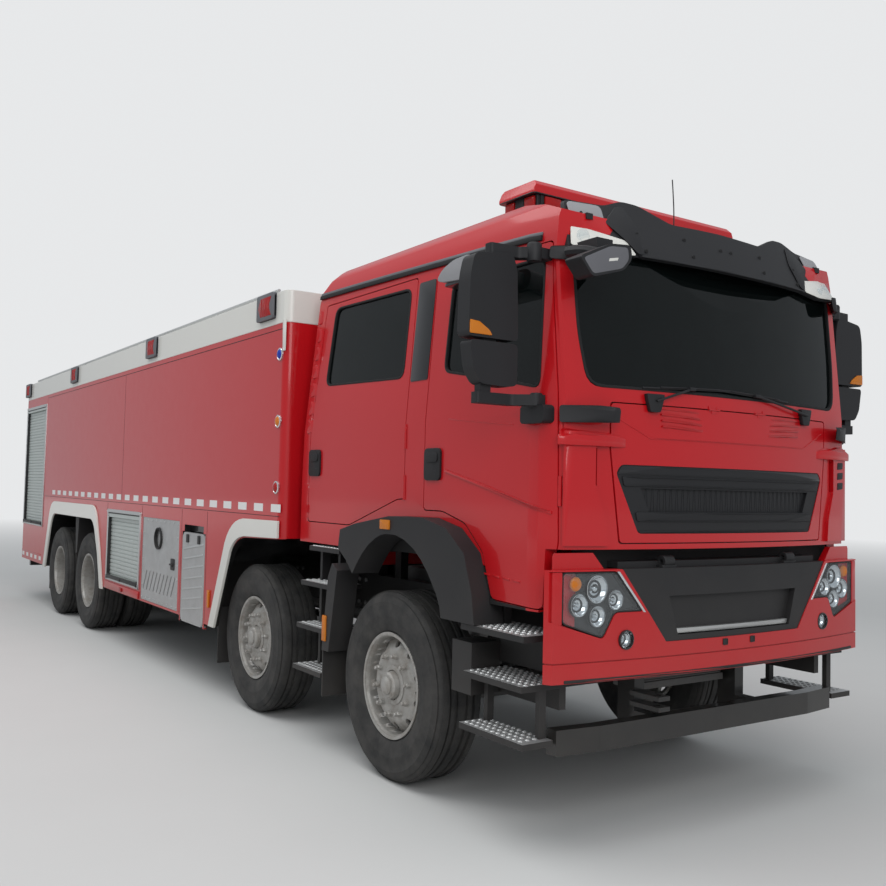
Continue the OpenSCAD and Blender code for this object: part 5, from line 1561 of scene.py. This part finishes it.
def tail_lamps():
    """Lamp clusters with their lenses, strips of film and reflectors at the back."""
    lens_x = BODY_REAR - 0.042
    for side, sign in SIDES.items():
        cluster = plate(soft_corners(box_corners(sign * 0.98 - 0.19, 0.70, sign * 0.98 + 0.19, 0.84),
                                     0.02), "x", lens_x, 0.045)
        finished(cluster, f"tail_lamp_{side}", "vehicle", "black", bevel=0.005)
        for k, tint in enumerate(("ruby", "amber", "clear")):
            y = sign * (1.105 - k * 0.125)
            glass = turned([(0, 0), (0.052, 0), (0.052, -0.008), (0.040, -0.016), (0, -0.018)], "x",
                           (lens_x, y, 0.77), 28)
            finished(glass, f"tail_lens_{side}_{k}", "vehicle", tint, bevel=0)
        for k in range(4):
            z = 1.30 + k * 0.40
            tape = on_rear_wall(box_corners(sign * 1.14 - 0.025, z, sign * 1.14 + 0.025, z + 0.30),
                                0.0, 0.0012, 0.003)
            finished(tape, f"rear_tape_{side}_{k}", "vehicle", "reflective" if k % 2 else "red_film",
                     bevel=0)
        disc = turned([(0, 0), (0.042, 0), (0.042, -0.006), (0, -0.009)], "x",
                      (BODY_REAR - 0.0005, sign * 0.72, 0.78), 28)
        finished(disc, f"rear_reflector_{side}", "vehicle", "ruby", bevel=0)


def hose_couplings():
    """Blank plate, and the two hose couplings beside the shutter."""
    board = on_rear_wall(box_corners(-0.26, 0.985, 0.26, 1.075), 0.0, 0.006, 0.010)
    finished(board, "rear_plate_blank", "vehicle", "white", bevel=0.001)
    z = 1.25
    for k, y in enumerate((-0.95, -0.78)):
        coupling = turned([(0, 0), (0.052, 0), (0.052, -0.02), (0.044, -0.024), (0.044, -0.060),
                           (0.056, -0.062), (0.056, -0.085), (0.040, -0.092), (0, -0.092)],
                          "x", (BODY_REAR + 0.001, y, z), 32)
        lugs = [block((BODY_REAR - 0.083, y + s * 0.058 - 0.010, z - 0.016),
                      (BODY_REAR - 0.065, y + s * 0.058 + 0.010, z + 0.016)) for s in (-1, 1)]
        finished(joined([coupling] + lugs), f"hose_coupling_{k}", "vehicle", "alloy", bevel=0.001)


dashes()
shutter_frame("large_shutter", *LARGE, 1.072)
shutter_frame("small_shutter", *SMALL, 0.672)
locker_fronts()
side_lamps()
column_strip()
vent_panel_details()
step_board_details()
rear_shutter()
tail_lamps()
hose_couplings()


# Chassis, axles and what hangs under the truck

RAIL_Y = 0.425
CROSS_X = (-1.62, -2.70, -3.90, -5.10, -6.00, TRUNNION_X, -8.60, -9.90)


def rail_bolts():
    """Bolt heads where the cross members meet the rails."""
    bolt = turned([(0, 0), (0.017, 0), (0.017, 0.010), (0.010, 0.014), (0, 0.014)], "y", (0, 0, 0), 6)
    bolts = []
    for x in CROSS_X:
        for dx in (-0.05, 0.05):
            for z in (0.80, 0.97):
                bolts.append(copied(bolt, (x + dx, RAIL_Y - 0.001, z)))
    bpy.data.objects.remove(bolt)
    on_both(joined(bolts), "rail_bolts", "vehicle", "iron", bevel=0)


def rail_lines():
    """Air and electric lines clipped along the inside of the rails."""
    lines = []
    for z in (0.86, 0.885, 0.91):
        lines.append(pipe([(1.0, 0.335, z), (-2.2, 0.335, z), (-2.6, 0.325, z - 0.02), (-5.6, 0.335, z),
                           (-9.8, 0.335, z)],
                          0.008, 8, smooth_path=False))
    on_both(joined(lines), "rail_lines", "vehicle", "seal", bevel=0)


def front_suspension():
    """U-bolts, spring clips and shock absorbers of the two steered axles."""
    pieces = []
    for x in AXLES[:2]:
        for dx in (-0.055, 0.055):
            for dy in (-0.049, 0.049):
                pieces.append(pipe([(x + dx, 0.45 + dy, 0.46), (x + dx, 0.45 + dy, 0.64)], 0.010, 8))
            pieces.append(pipe([(x + dx, 0.401, 0.638), (x + dx, 0.499, 0.638)], 0.010, 8))
        for dx in (-0.45, 0.45):
            pieces.append(block((x + dx - 0.015, 0.402, 0.575), (x + dx + 0.015, 0.498, 0.655)))
        body = turned([(0, 0), (0.038, 0), (0.038, 0.24), (0.030, 0.25), (0.014, 0.25), (0.014, 0.42),
                       (0, 0.42)], "z",
                      (x + 0.16, 0.56, 0.50), 20)
        eyes = [turned([(0.010, -0.03), (0.026, -0.03), (0.026, 0.03), (0.010, 0.03)], "y",
                       (x + 0.16, 0.56, z), 16)
                for z in (0.485, 0.935)]
        bracket = block((x + 0.13, 0.425, 0.90), (x + 0.19, 0.53, 0.97))
        pieces += [body, bracket] + eyes
    on_both(joined(pieces), "front_springs_detail", "vehicle", "chassis", bevel=0.001)


def brake_chambers():
    """Spring-brake cylinders on the driven axles, and the clips of their springs."""
    pieces = []
    for x in AXLES[2:]:
        lean = 0.16 if x > -7 else -0.16
        pot = turned([(0, 0), (0.075, 0), (0.085, 0.02), (0.085, 0.07), (0.094, 0.075), (0.094, 0.085),
                      (0.085, 0.09),
                      (0.085, 0.16), (0.060, 0.19), (0, 0.19)], "x", (x + lean, 0.52, 0.70), 28)
        pieces.append(pot)
        pieces.append(block((x + min(0, lean), 0.46, 0.60), (x + max(0, lean), 0.50, 0.66)))
    on_both(joined(pieces), "brake_chambers", "vehicle", "chassis", bevel=0.001)
    clips = []
    for dx in (-0.07, 0.07):
        for dy in (-0.05, 0.05):
            x = TRUNNION_X + dx
            clips.append(pipe([(x, 0.455 + dy, 0.50), (x, 0.455 + dy, 0.73)], 0.012, 8))
        clips.append(pipe([(TRUNNION_X + dx, 0.405, 0.728), (TRUNNION_X + dx, 0.505, 0.728)], 0.012, 8))
    on_both(joined(clips), "bogie_clips", "vehicle", "chassis", bevel=0)


def drive_line():
    """Universal joints of the shafts, and bolt rings on the axle bowls."""
    pieces = []
    for x, z in ((-1.60, 0.757), (-6.20, 0.560)):
        yoke = turned([(0, 0), (0.078, 0), (0.078, 0.020), (0.055, 0.030), (0.055, 0.085), (0, 0.085)],
                      "x", (x - 0.08, 0, z), 20)
        cross = turned([(0, -0.075), (0.026, -0.075), (0.026, 0.075), (0, 0.075)], "y", (x, 0, z), 12)
        pieces += [yoke, cross]
    bolt = turned([(0, 0), (0.012, 0), (0.012, 0.012), (0, 0.012)], "x", (0, 0, 0), 6)
    for x in AXLES[2:]:
        for k in range(12):
            angle = math.tau * k / 12
            pieces.append(copied(bolt,
                                 (x + 0.074, 0.188 * math.cos(angle), WHEEL_Z + 0.188 * math.sin(angle))))
        pieces.append(turned([(0.150, 0.148), (0.165, 0.148), (0.165, 0.160), (0.150, 0.160)], "x",
                             (x, 0, WHEEL_Z), 32))
    bpy.data.objects.remove(bolt)
    finished(joined(pieces), "drive_line_detail", "vehicle", "chassis", bevel=0)


def engine_details():
    """Rocker covers, sump, ribs, fan, radiator core and exhaust, and the tanks' straps."""
    covers = []
    for k in range(6):
        x = 0.66 - k * 0.235
        covers.append(block((x - 0.10, -0.14, 1.235), (x + 0.10, 0.14, 1.285)))
    finished(joined(covers), "rocker_covers", "vehicle", "alloy", bevel=0.010)
    sump = block((-0.62, -0.20, 0.60), (0.60, 0.20, 0.69))
    finished(sump, "engine_sump", "vehicle", "iron", bevel=0.03)
    ribs = [plate(box_corners(-0.70 + k * 0.17, 0.72, -0.66 + k * 0.17, 1.20), "y", 0.325, 0.018)
            for k in range(9)]
    on_both(joined(ribs), "engine_ribs", "vehicle", "iron", bevel=0.004)
    fan = turned([(0.285, 0.930), (0.300, 0.930), (0.300, 0.959), (0.285, 0.959)], "x", (0, 0, 0.92), 40)
    hubs = turned([(0, 0.90), (0.07, 0.90), (0.07, 0.945), (0, 0.945)], "x", (0, 0, 0.92), 24)
    blades = []
    for k in range(8):
        blade = block((0.925, -0.035, 0.985), (0.935, 0.035, 1.195))
        turned_by(blade, 22, "z", (0.93, 0, 1.09))
        blades.append(turned_by(blade, k * 45, "x", (0.93, 0, 0.92)))
    finished(joined([fan, hubs] + blades), "cooling_fan", "vehicle", "black", bevel=0.002)
    fins = [block((1.1295, -0.325, 0.66 + k * 0.021), (1.136, 0.325, 0.664 + k * 0.021))
            for k in range(30)]
    tanks = [block((1.05, -0.335, z), (1.142, 0.335, z + 0.035)) for z in (0.64, 1.255)]
    finished(joined(fins + tanks), "radiator_core", "vehicle", "iron", bevel=0)
    exhaust = pipe([(-0.30, -0.36, 0.80), (-0.60, -0.37, 0.72), (-1.60, -0.37, 0.70), (-3.0, -0.39, 0.72),
                    (-3.45, -0.52, 0.82)],
                   0.055, 16)
    finished(exhaust, "exhaust_pipe", "vehicle", "iron", bevel=0)
    straps = []
    for x in (-4.20, -3.60):
        straps.append(plate(soft_corners(box_corners(0.423, 0.632, 0.790, 1.018), 0.06), "x", x, 0.045,
                            rim=0.010))
    on_both(joined(straps), "tank_straps", "vehicle", "chassis", bevel=0.002)


def cab_underside():
    """Dark lining over the front wheels."""
    lining_piece = plate([(-0.47, 1.262), (-0.30, 1.40), (0.10, 1.455), (0.45, 1.46), (0.62, 1.41),
                          (0.62, 1.425),
                          (0.45, 1.475), (0.10, 1.47), (-0.30, 1.415), (-0.47, 1.275)], "y", 0.72, 0.36)
    on_both(lining_piece, "wheel_lining", "vehicle", "seal", bevel=0)


# Roof and monitor


def deck_fittings():
    """Hatch lids with grips and wing nuts, and low hand rails along the gallery."""
    for k, x in enumerate((-3.20, -6.00)):
        lid = turned([(0, 0), (0.290, 0), (0.305, 0.012), (0.305, 0.030), (0.270, 0.038), (0.10, 0.046),
                      (0, 0.046)], "z",
                     (x, 0, 2.988), 48)
        grip = pipe([(x - 0.08, 0, 3.03), (x - 0.08, 0, 3.075), (x + 0.08, 0, 3.075),
                     (x + 0.08, 0, 3.03)], 0.010, 8,
                    smooth_path=False)
        nut = turned([(0, 0), (0.022, 0), (0.016, 0.035), (0, 0.040)], "z", (0, 0, 0), 10)
        wing = block((-0.045, -0.006, 0.022), (0.045, 0.006, 0.045))
        nuts = ring_flat(joined([nut, wing]), 6, 0.262, (x, 0, 3.018))
        finished(joined([lid, grip, nuts]), f"tank_hatch_{k}", "vehicle", "alloy", bevel=0.001)
    for side, sign in SIDES.items():
        posts = []
        y = sign * 1.165
        for k in range(8):
            x = -1.75 - k * 1.16
            posts.append(pipe([(x, y, 3.028), (x, y, 3.078)], 0.009, 8))
        posts.append(pipe([(-1.66, y, 3.080), (-9.96, y, 3.080)], 0.012, 10))
        finished(joined(posts), f"deck_rail_{side}", "vehicle", "alloy", bevel=0)


def ring_flat(part, count, radius, centre):
    """Copies of a part drawn at the origin, set round an upright axis."""
    copies = []
    for k in range(count):
        angle = math.tau * k / count
        twin = copied(part, (radius + centre[0], centre[1], centre[2]))
        copies.append(turned_by(twin, math.degrees(angle), "z", centre))
    bpy.data.objects.remove(part)
    return joined(copies)


def monitor_details():
    """Flange bolts and gear box on the turret; rings and a grooved nozzle on the barrel."""
    x, z = -8.60, 3.21
    bolt = turned([(0, 0), (0.011, 0), (0.011, 0.010), (0, 0.010)], "z", (0, 0, 0), 6)
    bolts = ring_flat(bolt, 8, 0.094, (x, 0, z + 0.092))
    motor = turned([(0, 0.108), (0.045, 0.108), (0.045, 0.165), (0.036, 0.175), (0, 0.175)], "y",
                   (x, 0, z + 0.18), 24)
    finished(joined([bolts, motor]), "turret_detail", "monitor_turret", "alloy", bevel=0.001)
    c = z + 0.18
    rings = []
    for a, r in ((0.12, 0.054), (0.30, 0.052), (0.62, 0.048)):
        rings.append(turned([(r - 0.012, a), (r + 0.004, a), (r + 0.006, a + 0.012),
                             (r + 0.004, a + 0.024), (r - 0.012, a + 0.024)],
                            "x", (x, 0, c), 32))
    tip = turned([(0.036, 0.80), (0.049, 0.80), (0.056, 0.83), (0.056, 0.885), (0.050, 0.899),
                  (0.036, 0.899)], "x", (x, 0, c), 32)
    grooves = [turned([(0.054, 0.838 + k * 0.014), (0.0575, 0.840 + k * 0.014),
                       (0.0575, 0.846 + k * 0.014),
                       (0.054, 0.848 + k * 0.014)], "x", (x, 0, c), 32) for k in range(3)]
    finished(joined(rings + [tip] + grooves), "barrel_detail", "monitor_barrel", "gloss", bevel=0)


# Inside the cab

FLOOR = 1.43


def cushion(low, high, name, lean=0.0):
    """A crowned seat cushion: its top and front swell, and its back part leans."""
    pad = block(low, high)
    edit(pad)
    bpy.ops.mesh.subdivide(number_cuts=4)
    leave()
    centre = [(a + b) / 2 for a, b in zip(low, high)]
    half = [(b - a) / 2 for a, b in zip(low, high)]
    for vertex in pad.data.vertices:
        u, v, w = [(vertex.co[i] - centre[i]) / half[i] for i in range(3)]
        crown = (1 - u * u) * (1 - v * v)
        bulge = (1 - v * v) * (1 - w * w)
        vertex.co.z += 0.022 * crown * (1 if w > 0 else 0.2) * abs(w)
        vertex.co.x += 0.014 * bulge * (1 if u > 0 else -1) * abs(u)
        vertex.co.y += 0.010 * (1 - u * u) * (1 - w * w) * v
        if lean:
            vertex.co.x -= lean * (vertex.co.z - low[2])
    obj = finished(pad, name, "vehicle", "cloth", bevel=0.022, segments=3, angle=60)
    apply_modifier(obj, "SUBSURF", levels=1, render_levels=1)
    smooth(obj, 60)
    return obj


def seats_inside():
    """Cushions, backs, head rests and bases of the seats."""
    for side, sign in SIDES.items():
        y = sign * 0.65
        base = [block((0.56, y - 0.20, FLOOR), (0.92, y + 0.20, FLOOR + 0.10)),
                block((0.62, y - 0.15, FLOOR + 0.09), (0.86, y + 0.15, FLOOR + 0.26)),
                block((0.53, y - 0.235, FLOOR + 0.25), (0.96, y + 0.235, FLOOR + 0.30))]
        finished(joined(base), f"seat_base_{side}", "vehicle", "black", bevel=0.01)
        seat = cushion((0.50, y - 0.25, FLOOR + 0.285), (1.00, y + 0.25, FLOOR + 0.405),
                       f"seat_cushion_{side}")
        if sign > 0:
            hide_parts("seats")
        cushion((0.50, y - 0.235, FLOOR + 0.42), (0.61, y + 0.235, FLOOR + 0.98), f"seat_back_{side}",
                0.10)
        cushion((0.435, y - 0.13, FLOOR + 1.00), (0.515, y + 0.13, FLOOR + 1.15), f"head_rest_{side}",
                0.10)
    base = [block((-1.0, -0.94, FLOOR), (-0.58, 0.94, FLOOR + 0.28))]
    finished(joined(base), "bench_base", "vehicle", "black", bevel=0.015)
    for k in range(4):
        y0 = -0.945 + k * 0.4735
        cushion((-1.015, y0 + 0.003, FLOOR + 0.285), (-0.53, y0 + 0.4705, FLOOR + 0.405),
                f"bench_cushion_{k}")
        cushion((-1.0, y0 + 0.006, FLOOR + 0.42), (-0.90, y0 + 0.467, FLOOR + 1.14), f"bench_back_{k}",
                0.08)


def dash_details():
    """Instrument hood, dials, vents, gear lever, pedals and sun visors."""
    hood = plate(soft_corners([(0.42, 2.02), (0.88, 2.02), (0.84, 2.13), (0.46, 2.13)], 0.03), "x", 1.105,
                 0.14)
    finished(hood, "instrument_hood", "vehicle", "black", bevel=0.012)
    dials = []
    for y, z, r in ((0.58, 2.075, 0.040), (0.72, 2.075, 0.040), (0.65, 2.055, 0.022)):
        dials.append(turned([(r * 0.9, 0), (r, 0), (r, -0.006), (r * 0.9, -0.006)], "x", (1.105, y, z),
                            28))
        dials.append(turned([(0, 0), (r * 0.88, 0), (r * 0.88, -0.002), (0, -0.002)], "x", (1.104, y, z),
                            28))
    finished(joined(dials), "dials", "vehicle", "gloss", bevel=0)
    vents = []
    for y in (-0.82, -0.35, 0.10, 0.92):
        for k in range(4):
            vents.append(block((1.088, y - 0.06, 1.94 + k * 0.018), (1.110, y + 0.06, 1.946 + k * 0.018)))
    finished(joined(vents), "dash_vents", "vehicle", "gloss", bevel=0)
    lever = pipe([(0.78, 0.30, FLOOR), (0.80, 0.30, 1.70), (0.83, 0.30, 1.86)], 0.011, 8)
    knob = turned([(0, 0), (0.018, 0.004), (0.026, 0.025), (0.022, 0.048), (0, 0.056)], "z",
                  (0.83, 0.30, 1.85), 20)
    boot = turned([(0, 0), (0.075, 0), (0.060, 0.03), (0.045, 0.04), (0.040, 0.07), (0, 0.08)], "z",
                  (0.78, 0.30, FLOOR), 20)
    finished(joined([lever, knob, boot]), "gear_lever", "vehicle", "seal", bevel=0)
    pedals = []
    for y in (0.52, 0.66, 0.80):
        pedals.append(plate(soft_corners(box_corners(y - 0.035, 1.50, y + 0.035, 1.60), 0.01), "x", 1.10,
                            0.012))
        pedals.append(pipe([(1.11, y, 1.56), (1.16, y, 1.68), (1.17, y, 1.72)], 0.008, 8))
    finished(joined(pedals), "pedals", "vehicle", "black", bevel=0.002)
    visors = [plate(soft_corners(box_corners(y - 0.24, 2.73, y + 0.24, 2.87), 0.03), "x", 1.235, 0.014)
              for y in (-0.62, 0.62)]
    finished(joined(visors), "inside_sun_visors", "vehicle", "felt", bevel=0.005)


def lining():
    """Roof lining and floor mat."""
    roof = plate(soft_corners(box_corners(-1.05, -0.82, 1.05, 0.82), 0.05), "z", 3.055, 0.012)
    finished(roof, "roof_lining", "vehicle", "felt", bevel=0.003)
    mat = plate(soft_corners(box_corners(-1.10, -1.0, 1.10, 1.0), 0.05), "z", FLOOR + 0.0005, 0.008)
    finished(mat, "floor_mat", "vehicle", "seal", bevel=0.002)


rail_bolts()
rail_lines()
front_suspension()
brake_chambers()
drive_line()
engine_details()
cab_underside()
deck_fittings()
monitor_details()
seats_inside()
dash_details()
lining()


# Camera, light and floor


def aim_camera():
    """The photograph's viewpoint, worked out from the wheels and the body's edges."""
    place = Vector((4.746 + FIRST_AXLE, -4.026, 1.671))
    azimuth = math.radians(55.972)
    pitch = math.radians(2.699)
    roll = math.radians(1.305)
    ahead = Vector((-math.sin(azimuth) * math.cos(pitch), math.cos(azimuth) * math.cos(pitch),
                    math.sin(pitch)))
    right = Vector((math.cos(azimuth), math.sin(azimuth), 0))
    up = right.cross(ahead)
    across = right * math.cos(roll) + up * math.sin(roll)
    over = up * math.cos(roll) - right * math.sin(roll)
    data = bpy.data.cameras.new("photo_camera")
    data.lens = 38.94
    data.sensor_width = 36.0
    data.clip_end = 200.0
    camera = bpy.data.objects.new("photo_camera", data)
    columns = Matrix((across, over, -ahead)).transposed().to_4x4()
    camera.matrix_world = Matrix.Translation(place) @ columns
    bpy.context.scene.collection.objects.link(camera)
    bpy.context.scene.camera = camera


def area_light(name, place, target, size, power):
    """A rectangular lamp at a place, aimed at a target."""
    data = bpy.data.lights.new(name, "AREA")
    data.shape = "RECTANGLE"
    data.size, data.size_y = size
    data.energy = power
    light = bpy.data.objects.new(name, data)
    direction = Vector(target) - Vector(place)
    light.matrix_world = Matrix.Translation(place) @ direction.to_track_quat("-Z", "Y").to_matrix().to_4x4()
    bpy.context.scene.collection.objects.link(light)


def light_the_scene():
    """An even studio sky with a pale backdrop, and two soft boxes."""
    world = bpy.data.worlds.new("studio")
    bpy.context.scene.world = world
    world.use_nodes = True
    nodes = world.node_tree.nodes
    links = world.node_tree.links
    nodes.clear()
    path = nodes.new("ShaderNodeLightPath")
    seen = nodes.new("ShaderNodeMath")
    seen.operation = "MAXIMUM"
    links.new(path.outputs["Is Camera Ray"], seen.inputs[0])
    links.new(path.outputs["Is Transmission Ray"], seen.inputs[1])
    ambient = nodes.new("ShaderNodeBackground")
    ambient.inputs["Color"].default_value = colour(0.90, 0.95, 1.0)
    ambient.inputs["Strength"].default_value = 0.52
    backdrop = nodes.new("ShaderNodeBackground")
    backdrop.inputs["Color"].default_value = BACKDROP
    mixed = nodes.new("ShaderNodeMixShader")
    output = nodes.new("ShaderNodeOutputWorld")
    links.new(seen.outputs[0], mixed.inputs[0])
    links.new(ambient.outputs[0], mixed.inputs[1])
    links.new(backdrop.outputs[0], mixed.inputs[2])
    links.new(mixed.outputs[0], output.inputs[0])
    area_light("softbox_above", (2.0, -4.0, 11.0), (0.0, 0.0, 1.0), (16.0, 9.0), 900.0)
    area_light("softbox_front", (14.0, -5.0, 6.0), (4.0, 0.0, 1.6), (7.0, 5.0), 420.0)


def lay_floor():
    """Pale floor that runs out into the backdrop's own tone far from the truck."""
    bpy.ops.mesh.primitive_plane_add(size=160, location=(0, 0, 0))
    floor = bpy.context.object
    floor.name = "studio_floor"
    tree = Tree("floor_paint")
    x, y = tree.axes()[:2]
    far = ((x * x + y * y) ** 0.5).ramp(9.0, 34.0)
    near_tone = tree.mix(tree.noise(1.5) * 0.3, colour(0.60, 0.60, 0.59), colour(0.54, 0.54, 0.53))
    floor.data.materials.append(tree.surface(
        Base_Color=tree.mix(far, near_tone, BLACK),
        Roughness=0.85,
        Specular_IOR_Level=0.0,
        Emission_Color=tree.mix(far, BLACK, BACKDROP),
        Emission_Strength=1.0,
    ))


deselect()
lay_floor()
light_the_scene()
aim_camera()
bpy.context.scene.view_settings.view_transform = "Standard"
